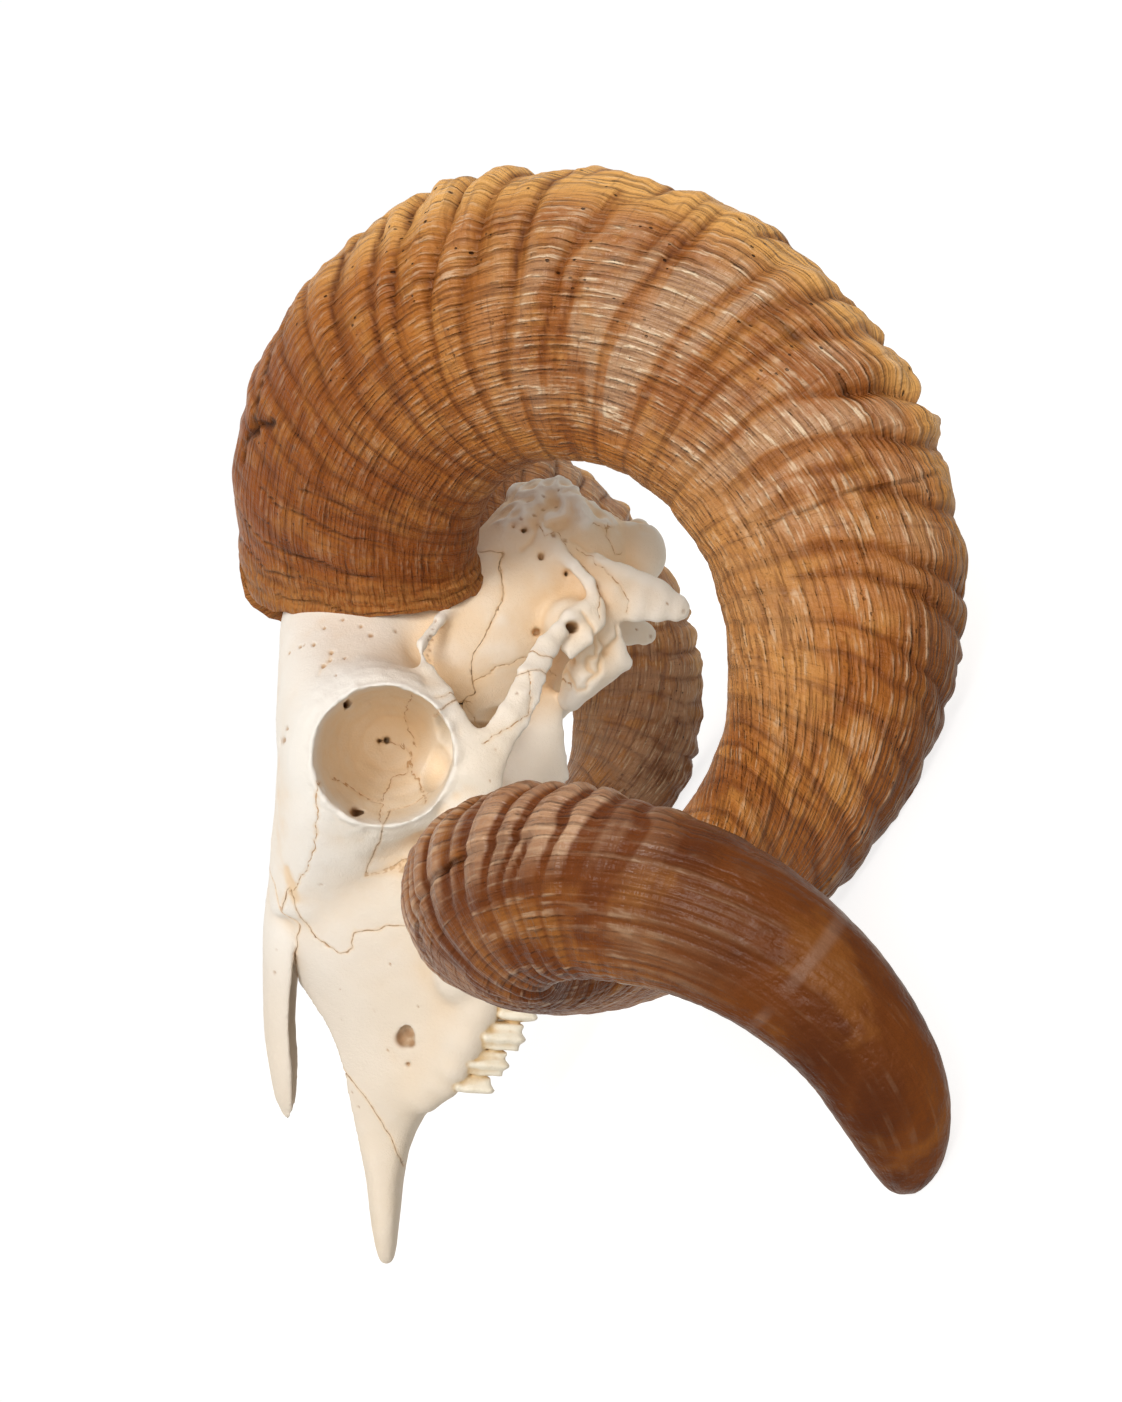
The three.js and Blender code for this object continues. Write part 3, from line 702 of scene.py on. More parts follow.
def horn_finish():
    w = Wiring("horn_keratin")
    straight = w.kept("straight", vector=True)
    age, high, crease, crack = w.kept("age"), w.kept("high"), w.kept("crease"), w.kept("crack")
    outer_edge, layer = w.kept("outer_edge"), w.kept("layer")
    times = w.times
    fibre = w.speckle(w.scaled(straight, (22, 800, 800)), 1.5, 0.5, 0.15)
    dashes = w.speckle(w.scaled(straight, (210, 950, 950)), 1.0, 0.5)
    patch = w.speckle(w.scaled(straight, (26, 34, 34)), 4.0, 0.6, 0.5)
    cloud = w.speckle(w.scaled(straight, (60, 75, 75)), 3.0, 0.6, 0.3)
    mottle = w.speckle(w.scaled(straight, (260, 320, 320)), 3.0, 0.6)

    honey, amber, knob = (0.47, 0.165, 0.028), (0.60, 0.265, 0.062), (0.78, 0.42, 0.13)
    brown, red_brown, dark = (0.17, 0.044, 0.007), (0.10, 0.024, 0.005), (0.03, 0.010, 0.004)
    grey, pale = (0.45, 0.285, 0.17), (0.82, 0.63, 0.43)
    colour = w.mix(w.step(patch, 0.4, 0.62), honey, (0.33, 0.10, 0.015))
    colour = w.mix(w.step(cloud, 0.46, 0.66, 0.0, 0.6), colour, amber)
    base = w.step(age, 0.15, 0.05)
    colour = w.mix(times(base, w.step(cloud, 0.3, 0.7, 0.9, 0.5)), colour, (0.255, 0.060, 0.005))
    late = w.step(age, 0.54, 0.74)
    colour = w.mix(times(late, w.step(cloud, 0.4, 0.62, 0.95, 0.6)), colour, (0.125, 0.029, 0.0035))
    # Painted shade: the low ground between the rings is darker.
    colour = w.mix(w.step(high, 0.65, 0.1, 0.0, 0.6), colour, brown)
    middle = times(w.step(age, 0.13, 0.21), w.step(age, 0.42, 0.26))
    worn = times(w.step(outer_edge, 0.80, 0.95), w.step(age, 0.07, 0.14), w.step(age, 0.44, 0.29))
    colour = w.mix(times(worn, w.step(high, 0.15, 0.6, 0.35, 0.95)), colour, knob)
    turned = times(w.step(age, 0.30, 0.42), w.step(age, 0.62, 0.54), w.step(outer_edge, 0.4, 0.82))
    colour = w.mix(times(turned, 0.9), colour, (0.145, 0.042, 0.005))
    sunlit = times(w.step(outer_edge, 0.36, 0.12), w.step(age, 0.22, 0.3), w.step(age, 0.5, 0.42))
    colour = w.mix(times(sunlit, w.step(cloud, 0.3, 0.6, 0.6, 0.3)), colour, (0.66, 0.36, 0.14))
    # Weathered grey, partly real weathering and partly a painted sheen, strongest on the ring crests of the
    # middle.
    side = times(w.step(outer_edge, 0.92, 0.74), w.step(outer_edge, 0.06, 0.22))
    weathered_and_sheen = times(middle, side, w.step(patch, 0.60, 0.42, 0.15, 1.0), w.step(high, 0.3, 0.75, 0.15, 1.0))
    colour = w.mix(times(weathered_and_sheen, 0.7), colour, grey)
    # Painted sheen: the ring crests of the later turn, on the outer side, are a lighter grey.
    late_crest_sheen = times(w.step(age, 0.62, 0.70), w.step(age, 0.90, 0.86))
    late_crest_sheen = times(late_crest_sheen, w.step(high, 0.4, 0.85), w.step(outer_edge, 0.45, 0.8))
    colour = w.mix(times(late_crest_sheen, w.step(cloud, 0.62, 0.4, 0.3, 0.75)), colour, (0.58, 0.33, 0.185))
    inner_face = times(w.kept("inner_face"), w.step(age, 0.1, 0.2), w.step(age, 0.55, 0.45))
    colour = w.mix(times(inner_face, w.step(cloud, 0.6, 0.45, 0.05, 0.6)), colour, (0.47, 0.26, 0.135))
    calm = w.step(age, 0.56, 0.70, 1.0, 0.75)
    colour = w.mix(times(w.step(fibre, 0.47, 0.34, 0.0, 0.42), calm), colour, red_brown)
    # Painted highlights: pale dashes along the fibres, strongest in the weathered middle and on the ring
    # crests.
    highlight_dash = times(w.step(fibre, 0.52, 0.62), w.step(dashes, 0.40, 0.60, 0.15, 1.0))
    shine = w.math("ADD", times(weathered_and_sheen, 0.75), w.step(high, 0.5, 0.9, 0.1, 0.34), clamp=True)
    colour = w.mix(times(highlight_dash, shine, calm, w.step(age, 0.05, 0.14, 0.45, 1.0)), colour, pale)
    # Painted shade: the creases are darker, least in the middle of the horn.
    quiet = w.step(w.math("ABSOLUTE", w.math("SUBTRACT", age, 0.45)), 0.12, 0.24, 0.35, 0.8)
    colour = w.mix(times(crease, quiet), colour, red_brown)
    growth = w.speckle(w.scaled(straight, (420, 45, 45)), 3.0, 0.6, 0.2)
    colour = w.mix(times(w.step(growth, 0.42, 0.30, 0.0, 0.3), w.step(age, 0.9, 0.85)), colour, red_brown)
    tip = w.step(age, 0.87, 0.915)
    tip_colour = w.mix(w.step(patch, 0.42, 0.6), (0.14, 0.036, 0.004), (0.07, 0.015, 0.002))
    tip_colour = w.mix(w.step(cloud, 0.5, 0.66, 0.0, 0.5), tip_colour, (0.25, 0.085, 0.014))
    colour = w.mix(times(tip, 0.85), colour, tip_colour)
    old_grey = times(w.step(age, 0.872, 0.89), w.step(age, 0.925, 0.905), w.step(outer_edge, 0.75, 0.55))
    colour = w.mix(times(old_grey, w.step(fibre, 0.4, 0.65, 0.05, 0.35)), colour, (0.30, 0.185, 0.11))
    band = times(w.step(age, 0.9283, 0.9303), w.step(age, 0.9333, 0.9313))
    colour = w.mix(times(band, w.step(cloud, 0.35, 0.6, 0.0, 0.22)), colour, (0.34, 0.24, 0.19))
    pit_at = w.scaled(straight, (230, 420, 420))
    pits = times(w.spots(pit_at, 0.17), w.step(w.speckle(w.scaled(straight, (70, 70, 70)), 1.0), 0.45, 0.58))
    pits = times(pits, w.step(outer_edge, 0.25, 0.85, 0.2, 1.0), w.step(age, 0.8, 0.6, 0.2, 1.0))
    colour = w.mix(times(pits, 0.9), colour, dark)
    colour = w.mix(times(layer, w.step(dashes, 0.35, 0.65, 0.25, 0.75)), colour, (0.44, 0.19, 0.05))
    colour = w.mix(crack, colour, dark)
    w.link(colour, w.shader.inputs["Base Color"])

    rough = w.step(mottle, 0.25, 0.75, 0.30, 0.48)
    rough = w.math("ADD", rough, times(crease, 0.2))
    rough = w.math("ADD", rough, times(worn, 0.07), clamp=True)
    w.link(rough, w.shader.inputs["Roughness"])
    w.shader.inputs["IOR"].default_value = 1.55
    glossy = w.math("MAXIMUM", w.math("MAXIMUM", weathered_and_sheen, late_crest_sheen), inner_face)
    w.link(w.math("ADD", times(glossy, 0.28), 0.16), w.shader.inputs["Specular IOR Level"])

    lively = times(w.step(age, 0.95, 0.85, 0.15, 1.0), calm)
    normal = w.bump(times(fibre, lively), 0.0018)
    normal = w.bump(times(growth, lively), 0.0008, normal)
    normal = w.bump(times(dashes, lively), 0.0004, normal)
    normal = w.bump(mottle, 0.0006, normal)
    normal = w.bump(w.math("SUBTRACT", 1.0, w.math("MAXIMUM", pits, crack)), 0.0007, normal)
    w.link(normal, w.shader.inputs["Normal"])
    return w.material


horn = horn_finish()
put_on_table(sheath_left, 1)
put_on_table(sheath_right, -1)
show("sheath_left", sheath_left, horn, ["horn_left"])
show("sheath_right", sheath_right, horn, ["horn_right"])

# %% [markdown]
# ## A block of space for the bone
# Bone swells, thins, dives into holes and comes out again, which no extrusion or lathe shape does.
# Sculpting by hand would, but a script can't be sculpted,
# and boolean cuts leave hard edges and break on thin walls.
# So the skull is first drawn as a distance: at each point
# of a fine block of space, how far it is outside the bone.
# Shapes are then added and cut with soft edges, and a net
# is thrown round the places where the distance is nought.
# Only the left half is drawn, because the right one is its mirror image.

# %% The block
CELL = 0.78
BLOCK_LOW = np.array([-3 * CELL, -204.0, -54.0])
BLOCK_HIGH = np.array([74.0, 86.0, 114.0])
COUNTS = np.ceil((BLOCK_HIGH - BLOCK_LOW) / CELL).astype(int) + 1
LINES = [BLOCK_LOW[i] + CELL * np.arange(COUNTS[i]) for i in range(3)]
bone_field = np.full(COUNTS, 30.0, np.float32)
print("block of", "x".join(str(n) for n in COUNTS), "cells of", CELL, "mm")


def part_of_block(low, high):
    """The slices of the block between two corners, and the x, y and z of their cells."""
    cuts, axes = [], []
    for i in range(3):
        a = int(np.clip(np.floor((low[i] - BLOCK_LOW[i]) / CELL), 0, COUNTS[i] - 2))
        b = int(np.clip(np.ceil((high[i] - BLOCK_LOW[i]) / CELL) + 1, a + 2, COUNTS[i]))
        cuts.append(slice(a, b))
        axes.append(LINES[i][a:b].astype(np.float32))
    x, y, z = np.ix_(*axes)
    return tuple(cuts), x, y, z


def soft_min(a, b, blend):
    """The smaller distance, with a fillet of about blend millimetres where they meet."""
    near = np.maximum(blend - np.abs(a - b), 0) / blend
    return np.minimum(a, b) - near * near * blend / 4


def add(shape, blend=3.0):
    cuts, distance = shape
    bone_field[cuts] = soft_min(bone_field[cuts], distance, blend)


def take(shape, blend=1.5):
    cuts, distance = shape
    bone_field[cuts] = -soft_min(-bone_field[cuts], distance, blend)


# %% [markdown]
# ## Shapes to draw with
# Three shapes are enough: a hull through sections along the head, a bar through round stations, and an egg.
# The hull's section is a soft-cornered oval whose width changes from its floor to its roof.

# %% Hulls, bars and eggs


def softened(values, reach):
    """A row of values along the head, smoothed over reach millimetres."""
    half = int(3 * reach / CELL) + 1
    weights = np.exp(-0.5 * (np.arange(-half, half + 1) * CELL / reach) ** 2)
    return np.convolve(np.pad(values, half, mode="edge"), weights / weights.sum(), "valid")


def hull(sections, power=2.8, reach=4.0, room=9.0):
    """A solid through sections [y, roof z, floor z, half width of roof, of floor]."""
    rows = np.array(sections, float)
    widest = rows[:, 3:].max() + room
    low = [-9, rows[0, 0] - room, rows[:, 2].min() - room]
    high = [widest, rows[-1, 0] + room, rows[:, 1].max() + room]
    cuts, x, y, z = part_of_block(low, high)
    smooth = [softened(np.interp(LINES[1], rows[:, 0], rows[:, k]), reach)[cuts[1]] for k in range(1, 5)]
    roof, floor_z, roof_half, floor_half = (row.astype(np.float32)[None, :, None] for row in smooth)
    share = np.clip((z - floor_z) / (roof - floor_z), 0, 1)
    half = floor_half + (roof_half - floor_half) * share
    upright = (np.abs(z - (roof + floor_z) / 2) / ((roof - floor_z) / 2)) ** power
    size = (np.abs(x) ** power * half ** -power + upright) ** (1 / power)
    slopes = np.gradient(size, CELL)
    steep = np.sqrt(slopes[0] ** 2 + slopes[1] ** 2 + slopes[2] ** 2)
    distance = (size - 1) / np.maximum(steep, 0.4 / widest)
    ends = np.maximum(rows[0, 0] - y, y - rows[-1, 0])
    return cuts, -soft_min(-distance, -ends, 3.0)


def bar(stations, blend=2.0, room=7.0):
    """A chain of oval cones through stations [x, y, z, half width, half height]."""
    rows = np.array(stations, float)
    most = rows[:, 3:].max() + room
    cuts, x, y, z = part_of_block(rows[:, :3].min(0) - most, rows[:, :3].max(0) + most)
    total = None
    for start, end in zip(rows[:-1], rows[1:]):
        run = end[:3] - start[:3]
        length = np.linalg.norm(run)
        run = run / length
        side = np.array([1.0, 0, 0]) - run * run[0]
        side = side / np.linalg.norm(side) if np.linalg.norm(side) > 0.2 else np.array([0, 1.0, 0])
        side = side - run * (side @ run)
        side /= np.linalg.norm(side)
        up = np.cross(run, side)
        dx, dy, dz = x - start[0], y - start[1], z - start[2]
        travel = dx * run[0] + dy * run[1] + dz * run[2]
        t = np.clip(travel / length, 0, 1)
        wide = start[3] + (end[3] - start[3]) * t
        tall = start[4] + (end[4] - start[4]) * t
        a = (dx * side[0] + dy * side[1] + dz * side[2]) / wide
        b = (dx * up[0] + dy * up[1] + dz * up[2]) / tall
        least = np.minimum(wide, tall)
        c = (travel - t * length) / least
        size = np.sqrt(a * a + b * b + c * c)
        slope = np.sqrt((a / wide) ** 2 + (b / tall) ** 2 + (c / least) ** 2)
        distance = size * (size - 1) / np.maximum(slope, 1e-4)
        total = distance if total is None else soft_min(total, distance, blend)
    return cuts, total


def egg(centre, halves, turns=(0, 0, 0), room=7.0):
    """An egg of three half sizes, turned by degrees about x, y and z."""
    centre, halves = np.array(centre, float), np.array(halves, float)
    most = halves.max() + room
    cuts, x, y, z = part_of_block(centre - most, centre + most)
    frame_of = np.eye(3)
    for axis, turn in enumerate(turns):
        c, s = math.cos(math.radians(turn)), math.sin(math.radians(turn))
        i, j = (axis + 1) % 3, (axis + 2) % 3
        one = np.eye(3)
        one[i, i], one[i, j], one[j, i], one[j, j] = c, -s, s, c
        frame_of = one @ frame_of
    dx, dy, dz = x - centre[0], y - centre[1], z - centre[2]
    p = [dx * frame_of[0, k] + dy * frame_of[1, k] + dz * frame_of[2, k] for k in range(3)]
    size = np.sqrt(sum((p[k] / halves[k]) ** 2 for k in range(3)))
    slope = np.sqrt(sum((p[k] / halves[k] ** 2) ** 2 for k in range(3)))
    return cuts, size * (size - 1) / np.maximum(slope, 1e-4)


print("a bar through two stations fills", bar([[10, 0, 40, 5, 5], [30, 0, 40, 3, 3]])[1].shape)

# %% [markdown]
# ## The big masses
# The face is a wedge from the cheeks to the two points of the upper jaw.
# Over it lie the forehead, as wide as the eye sockets, and
# behind it the braincase, which is small, low and round.

# %% Face, forehead and braincase
FACE = [[-197, 64, 59, 9, 9], [-191, 66, 58, 15, 15], [-178, 68, 57, 17, 18], [-162, 71, 55, 17, 17],
        [-150, 75, 51, 15, 17], [-142, 79, 44, 15, 24], [-134, 82, 34.5, 15, 33],
        [-122, 86, 27.5, 16, 36], [-112, 90, 23.5, 18, 37.5], [-95, 96, 18.5, 24, 39.5],
        [-78, 101, 13, 31, 43], [-62, 103, 8, 40, 46], [-50, 102, 12, 48, 41], [-40, 98, 20, 44, 24],
        [-24, 94, 22, 34, 17], [-10, 92, 22, 32, 15]]
FOREHEAD = [[-76, 104, 84, 22, 30], [-60, 103, 56, 42, 50], [-44, 102, 54, 57, 61], [-24, 101, 52, 64, 62],
            [-8, 102, 43, 61, 60], [3, 102, 47, 53, 56], [12, 102, 51, 42, 47], [20, 102, 48, 34, 39],
            [27, 102, 43, 27, 34], [34, 101, 38, 25, 33], [54, 88, 32, 20, 30]]
BRAINCASE = [[-24, 84, 14, 22, 15], [-6, 84, 6, 30, 24], [12, 82, -4, 34, 35], [30, 74, -15, 34, 37],
             [46, 56, -28, 32, 37], [57, 36, -32, 31, 33], [66, 27.5, -22, 28, 30], [73, 21, -6, 20, 26],
             [77, 17, 2, 14, 20]]
BASE_OF_BRAIN = [[-30, 30, 12, 12, 9], [-8, 16, 4, 11, 9], [6, 8, -2, 11, 9], [20, 0, -15, 12, 10],
                 [50, -10, -30, 16, 14]]

add(hull(FACE), 2)
add(hull(FOREHEAD, 2.6), 5)
add(hull(BRAINCASE, 2.3), 5)
add(hull(BASE_OF_BRAIN, 2.5), 4)
print("big masses drawn")

# %% [markdown]
# ## The eye socket
# A ram's eye socket is a short tube that stands out sideways,
# closed behind by a bar of bone, with a thin rough rim.
# Its wall is a cone that narrows inwards to the hole of the optic nerve.

# %% Eye socket
EYE_AT = np.array([63.0, -23, 63])
EYE_OUT = unit(np.array([1, -0.14, 0.03]))
RIM = 22.0


def eye_tube(profile, ragged=0.0, room=9.0):
    """A round body about the socket's axis, from its radius at steps inwards (negative) and outwards."""
    steps_in, radii = np.array(profile, float).T
    most = radii.max() + room
    low = EYE_AT + EYE_OUT * steps_in[0] - most
    high = EYE_AT + EYE_OUT * steps_in[-1] + most
    cuts, x, y, z = part_of_block(np.minimum(low, high), np.maximum(low, high))
    dx, dy, dz = x - EYE_AT[0], y - EYE_AT[1], z - EYE_AT[2]
    inward = dx * EYE_OUT[0] + dy * EYE_OUT[1] + dz * EYE_OUT[2]
    away = np.sqrt(np.maximum(dx * dx + dy * dy + dz * dz - inward * inward, 0))
    radius = np.interp(inward, steps_in, radii).astype(np.float32)
    across = np.stack(np.broadcast_arrays(0 * y[0], y[0], z[0]), -1)
    bite = (ragged * (noise(across, 6, 41) + 0.7 * noise(across, 2.4, 42))).astype(np.float32)[None]
    distance = (away - radius + 0.6 * bite) * 0.93
    return cuts, np.maximum(distance, np.maximum(steps_in[0] - inward, inward - steps_in[-1] + bite))


add(eye_tube([[-44, RIM], [-30, RIM + 4], [-14, RIM + 6.5], [-7, RIM + 5.6], [-3, RIM + 3.6],
              [-1, RIM + 1.9], [1.0, RIM + 0.7]], 0.8), 8)
add(bar([[36, -84, 40, 5, 9], [46, -62, 41, 7, 10], [55, -44, 37, 6, 9], [60.5, -30, 33.5, 3.6, 8.5],
         [60.5, -18, 27.4, 2.4, 5.8], [59, -10, 21.6, 1.9, 5.4], [57.2, -3, 17.8, 1.8, 5.2],
         [54.5, 4, 15.6, 1.9, 4.9], [51.2, 9.5, 12.6, 2, 4.4], [48.6, 14.5, 9.2, 2.2, 4],
         [46.6, 19.5, 5.4, 2, 2.8], [45, 24.6, 1.8, 1.8, 2.2], [42.5, 28, -4, 1.8, 2.2],
         [40, 28, -9, 2, 2.4]]), 2.5)
add(bar([[52, 3, 50, 3, 4.2], [59.5, -4, 45.5, 2.6, 4.4], [61.4, -11, 40.8, 2.1, 3.8],
         [61.4, -19, 36.5, 2.4, 5.4], [60.5, -28, 34, 3.4, 8]]), 3)
add(bar([[32, 31, 40.5, 1.4, 1.6], [38, 24, 45.5, 1.5, 1.7], [44.5, 15, 51, 1.5, 1.8],
         [52.5, 5, 49, 1.5, 1.8], [58, -3, 46, 1.4, 2]]), 4)
print("eye socket and cheek drawn")

# %% [markdown]
# ## Round the ear and the nape
# Behind the jaw joint lie the ear opening, the bladder-like
# middle ear and a long process for the neck muscles.
# The nape carries a thick crest, and two smooth knuckles stand beside the big hole for the spinal cord.

# %% Ear, nape and neck joint
add(bar([[34, 25, 1, 8, 9], [36.4, 23, -1, 8, 9]]), 4)
add(bar([[44, 13, 2.5, 2, 3.4], [43.6, 18, -4.5, 1.6, 2.6], [41.5, 24, -8, 1.8, 2.6]]), 2.5)
add(bar([[24, -1, -1, 8, 4.5], [27, 6, -5, 8, 7], [28, 11, -11, 6, 7.5], [28.5, 12.5, -16.5, 4, 5.2],
         [28.5, 11, -20.6, 1.8, 2.4]]), 3)
add(bar([[40, 20, -3, 3, 4], [36, 14, -6, 2.4, 5], [33, 8, -7, 2, 4.5], [30, 3.5, -5, 2, 3]]), 2)
add(bar([[36, 24, -9, 3, 4], [33, 20, -13.5, 2.4, 4.4], [30.5, 15.5, -17, 1.8, 3.2]]), 1.6)
add(bar([[29, 37, -6, 7, 10], [32, 35.5, -15, 4.8, 10.2], [33.5, 33.6, -24, 3.4, 8.2],
         [34, 31.8, -32, 2.7, 6.6], [34, 29.6, -38, 2.3, 4.4], [34, 29, -40, 1.8, 3.0]]), 4)
add(bar([[34, 47, -8, 2, 2.4], [36, 42, -20, 1.6, 2], [35.5, 38, -31, 1.4, 1.8]]), 3)
add(egg((15.5, 53, -26), (10.5, 12, 10.5), (20, 0, 0)), 3)
add(bar([[0, 76, 13.5, 7, 4.2], [7, 76, 8, 6, 4.5], [13, 74, 3, 5.5, 5], [19, 72, 0, 4, 4],
         [26, 67.5, -2, 3.4, 4], [31, 60, -4, 2.4, 3]]), 3.5)
add(bar([[23, 60, 15, 2.6, 3], [29, 56, 11, 2, 2.8], [33.4, 50, 5, 1.6, 2.4], [36.8, 44, -0.4, 1.3, 2.2],
         [39.2, 38, -5.6, 1.3, 2.2], [40.6, 31, -7.6, 1.6, 2.4], [41, 24, -8, 1.8, 2.4]]), 3)
add(egg((3, 77.5, 13.5), (5, 3.5, 5), (30, 0, 0)), 2)
add(egg((12, 75.5, 4.5), (6, 3.6, 7), (25, 0, 0)), 2)
add(egg((24, 62, 14), (5, 3.2, 4), (0, 0, 0)), 3)
add(bar([[29, 50, 14.5, 2, 2], [30, 55, 8, 2, 2], [31, 51, 4, 2, 2.4]]), 3)
add(bar([[14, -44, 18, 4, 10], [15, -28, 10.5, 2.5, 12], [16, -12, 9.5, 2.2, 8.5], [17, 0, 8, 3, 7]]), 3)
print("ear and nape drawn")

# %% [markdown]
# ## Nose and cheek teeth
# The two nasal bones are thin arched plates that end in
# free points over the open nose, clear of the upper jaw.
# A plate is one hull less a thinner one inside it, cut off along its lower edge.
# The cheek teeth stand in a curved row on a ridge of the jaw, with a swelling over their roots.
# Premolars have one lobe and molars two or three, and each lobe ends in
# a worn cusp, so a tooth is a block whose sides and end follow one wave.

# %% Nasal plates
NASAL_OUT = [[-149, 97.5, 95.2, 4], [-146, 99.5, 94.6, 7], [-142, 101.2, 94.2, 10],
             [-128, 104.2, 94.8, 13.5], [-113, 105.8, 95.6, 15.5], [-98, 106.4, 94.8, 17.5],
             [-88, 106.4, 94.0, 19], [-78, 106, 92.5, 20.5], [-68, 105.2, 90, 22], [-58, 103.8, 92, 18]]


def overlap(cuts, others):
    """The part of one box of cells that another box shares, counted from the first box's corner."""
    return tuple(slice(max(b.start - a.start, 0), min(a.stop, b.stop) - a.start)
                 for a, b in zip(cuts, others))


def nasal_plate(thickness):
    """The left nasal bone, from its roof line, its lower edge and its half width."""
    outer = [[y, roof, 2 * edge - roof - 1, half, half] for y, roof, edge, half in NASAL_OUT]
    inner = []
    for y, roof, edge, half in NASAL_OUT:
        if half - thickness > 2 and y < -84:
            narrow = half - thickness * 0.8
            inner.append([y, roof - thickness, 2 * edge - roof + thickness - 1, narrow, narrow])
    cuts, distance = hull(outer, 2.2, 3.0)
    rows = np.array(NASAL_OUT)
    edge = softened(np.interp(LINES[1], rows[:, 0], rows[:, 2]), 2.0)[cuts[1]][None, :, None]
    z = LINES[2][cuts[2]][None, None, :]
    inner_cuts, hollow = hull(inner, 2.2, 3.0)
    room = np.full_like(distance, 30.0)
    room[overlap(cuts, inner_cuts)] = hollow[overlap(inner_cuts, cuts)]
    distance = -soft_min(-distance, room, 0.8)
    return cuts, -soft_min(-distance, z - edge, 1.2)


add(nasal_plate(2.6), 1.2)
take(bar([[0, -156, 97, 4.5, 9], [0, -144, 98, 2.2, 9], [0, -136, 98, 0.6, 9]]), 1.0)
print("nasal plates drawn")

# %% Cheek teeth
TOOTH_LENGTHS = [6, 8.7, 9.4, 12.5, 15.5, 17.5]
TOOTH_RIBS = [1, 2, 2, 3, 3, 4]
TOOTH_TALL = [10.7, 10.9, 11, 10.6, 10.8, 10.8]
TOOTH_BULGE = [0.2, -0.3, 0.35, -0.2, 0.3, 0]
tooth_field = np.full(COUNTS, 30.0, np.float32)


def tooth(number):
    """One cheek tooth, from the jaw to its worn face. Each crown leans a little forward."""
    travel, length = sum(TOOTH_LENGTHS[:number]), TOOTH_LENGTHS[number]
    bow = 3.5 * math.sin(math.pi * (travel + length / 2) / sum(TOOTH_LENGTHS)) + TOOTH_BULGE[number]
    back = travel + length / 2
    middle = np.array([28.5 + bow, -135.2 + back, 37.4 - 0.56 * min(back, 26) - 0.36 * max(back - 26, 0)])
    cuts, x, y, z = part_of_block(middle - 24, middle + 24)
    dx, dy, dz = x - middle[0], y - middle[1], z - middle[2]
    down = -dz
    run = dy + 0.11 * down + 0.12 * np.cos(down * 0.5)
    ribs = TOOTH_RIBS[number]
    wave = np.cos(2 * np.pi * ribs * run / length + (0.5 if number else 2.2))
    tall = TOOTH_TALL[number] + 0.12 * run + 0.75 * wave
    tall = tall - 1.2 * np.exp(-((dx + 1) / 2.2) ** 2) - 0.16 * np.abs(dx - 1)
    wide = (4.0 + 0.68 * number) * (1 - 0.016 * (down + 5)) + 0.75 * wave
    wide = wide - 0.5 * np.exp(-((down + 0.6) / 1.3) ** 2) - 1.1 * (2 * run / length) ** 2
    along_it = np.abs(run) - (length / 2 + 0.05 + 0.012 * down)
    across = np.abs(dx) - wide
    ends = np.maximum(down - tall, -4 - down)
    round_it = -soft_min(-along_it, -across, 3.0)
    return cuts, -soft_min(-round_it, -ends, 3.0)


GUM_RIDGE = bar([[22, -138, 49, 2.4, 3], [27, -132.5, 42.5, 3.2, 4], [29.6, -127, 39.5, 4.2, 4.8],
                 [31, -118, 35.2, 5.4, 6], [32.2, -108, 31.4, 6, 6.4], [33, -94, 27.5, 6.5, 7],
                 [32, -76, 24, 6.5, 7]])
add(GUM_RIDGE, 9)
for number in range(len(TOOTH_LENGTHS)):
    cuts, distance = tooth(number)
    tooth_field[cuts] = np.minimum(tooth_field[cuts], distance)
bone_field = np.where(tooth_field < 1.2, soft_min(bone_field, tooth_field, 0.4), bone_field)
add(bar([[30, -96, 36, 8, 7], [34, -80, 34, 8, 8], [37, -66, 34, 8, 8]]), 6)
add(egg((35.5, -92, 40), (4.5, 10, 6), (0, 0, 0)), 6)
print("teeth drawn")

# %% [markdown]
# ## Openings
# Everything that is open on a real skull is cut: nose, palate, throat, eye sockets, the hollows for
# the jaw muscle, the hole for the spinal cord, and the small holes where nerves and vessels pass.

# %% Large openings
take(hull([[-205, 100, 66, 4, 4], [-190, 98, 66, 6, 6], [-176, 97, 64, 11, 10], [-150, 96, 59, 11, 11],
           [-130, 96, 52, 11.5, 16], [-100, 94, 44, 14, 20], [-74, 92, 42, 12, 14]], 3), 1.2)
take(hull([[-146, 51, 30, 8, 10], [-128, 44, 20, 16, 18], [-100, 34, 6, 19, 21], [-66, 20, -10, 20, 23],
           [-44, 18, -20, 14, 22]], 3), 2.5)
take(hull([[-60, 26, 8, 9, 9], [-30, 24, -12, 10, 10], [-8, 16, -16, 9, 10]], 3), 2)
take(bar([[0, 40, -14, 9, 9], [0, 60, -15, 10, 9.5], [0, 84, -16, 11, 10]]), 2)
take(bar([[0, -206, 61, 2, 12], [0, -182, 60, 4, 12], [0, -166, 58, 2, 10]]), 1)
take(eye_tube([[-46, 3], [-42, 9.5], [-36, 13.5], [-28, 17], [-16, 20.3], [-6, 21.6], [0, RIM],
               [14, RIM + 0.6]], 0.45), 0.9)
take(bar([[46, 30, 26, 6, 10], [48, 20, 30, 8, 14.5], [48.5, 12, 34, 9.5, 17], [48, 3, 34, 10, 14],
          [47, -7, 33, 10, 10.5], [45.5, -18, 41, 10.5, 8.5], [44, -27, 47, 9, 7.5]], 4), 1.2)
take(bar([[56, -14, 32.2, 4.2, 5.4], [44, -14, 32, 4.6, 6], [30, -14, 30, 7, 9], [22, -13, 22, 6, 9]]), 0.8)
take(egg((42, -25, 47.5), (15, 9.5, 8)), 0.8)
take(bar([[47, -14, 14, 7, 5], [46, -4, 13, 8, 8], [46, 4, 22, 7, 10]]), 3)
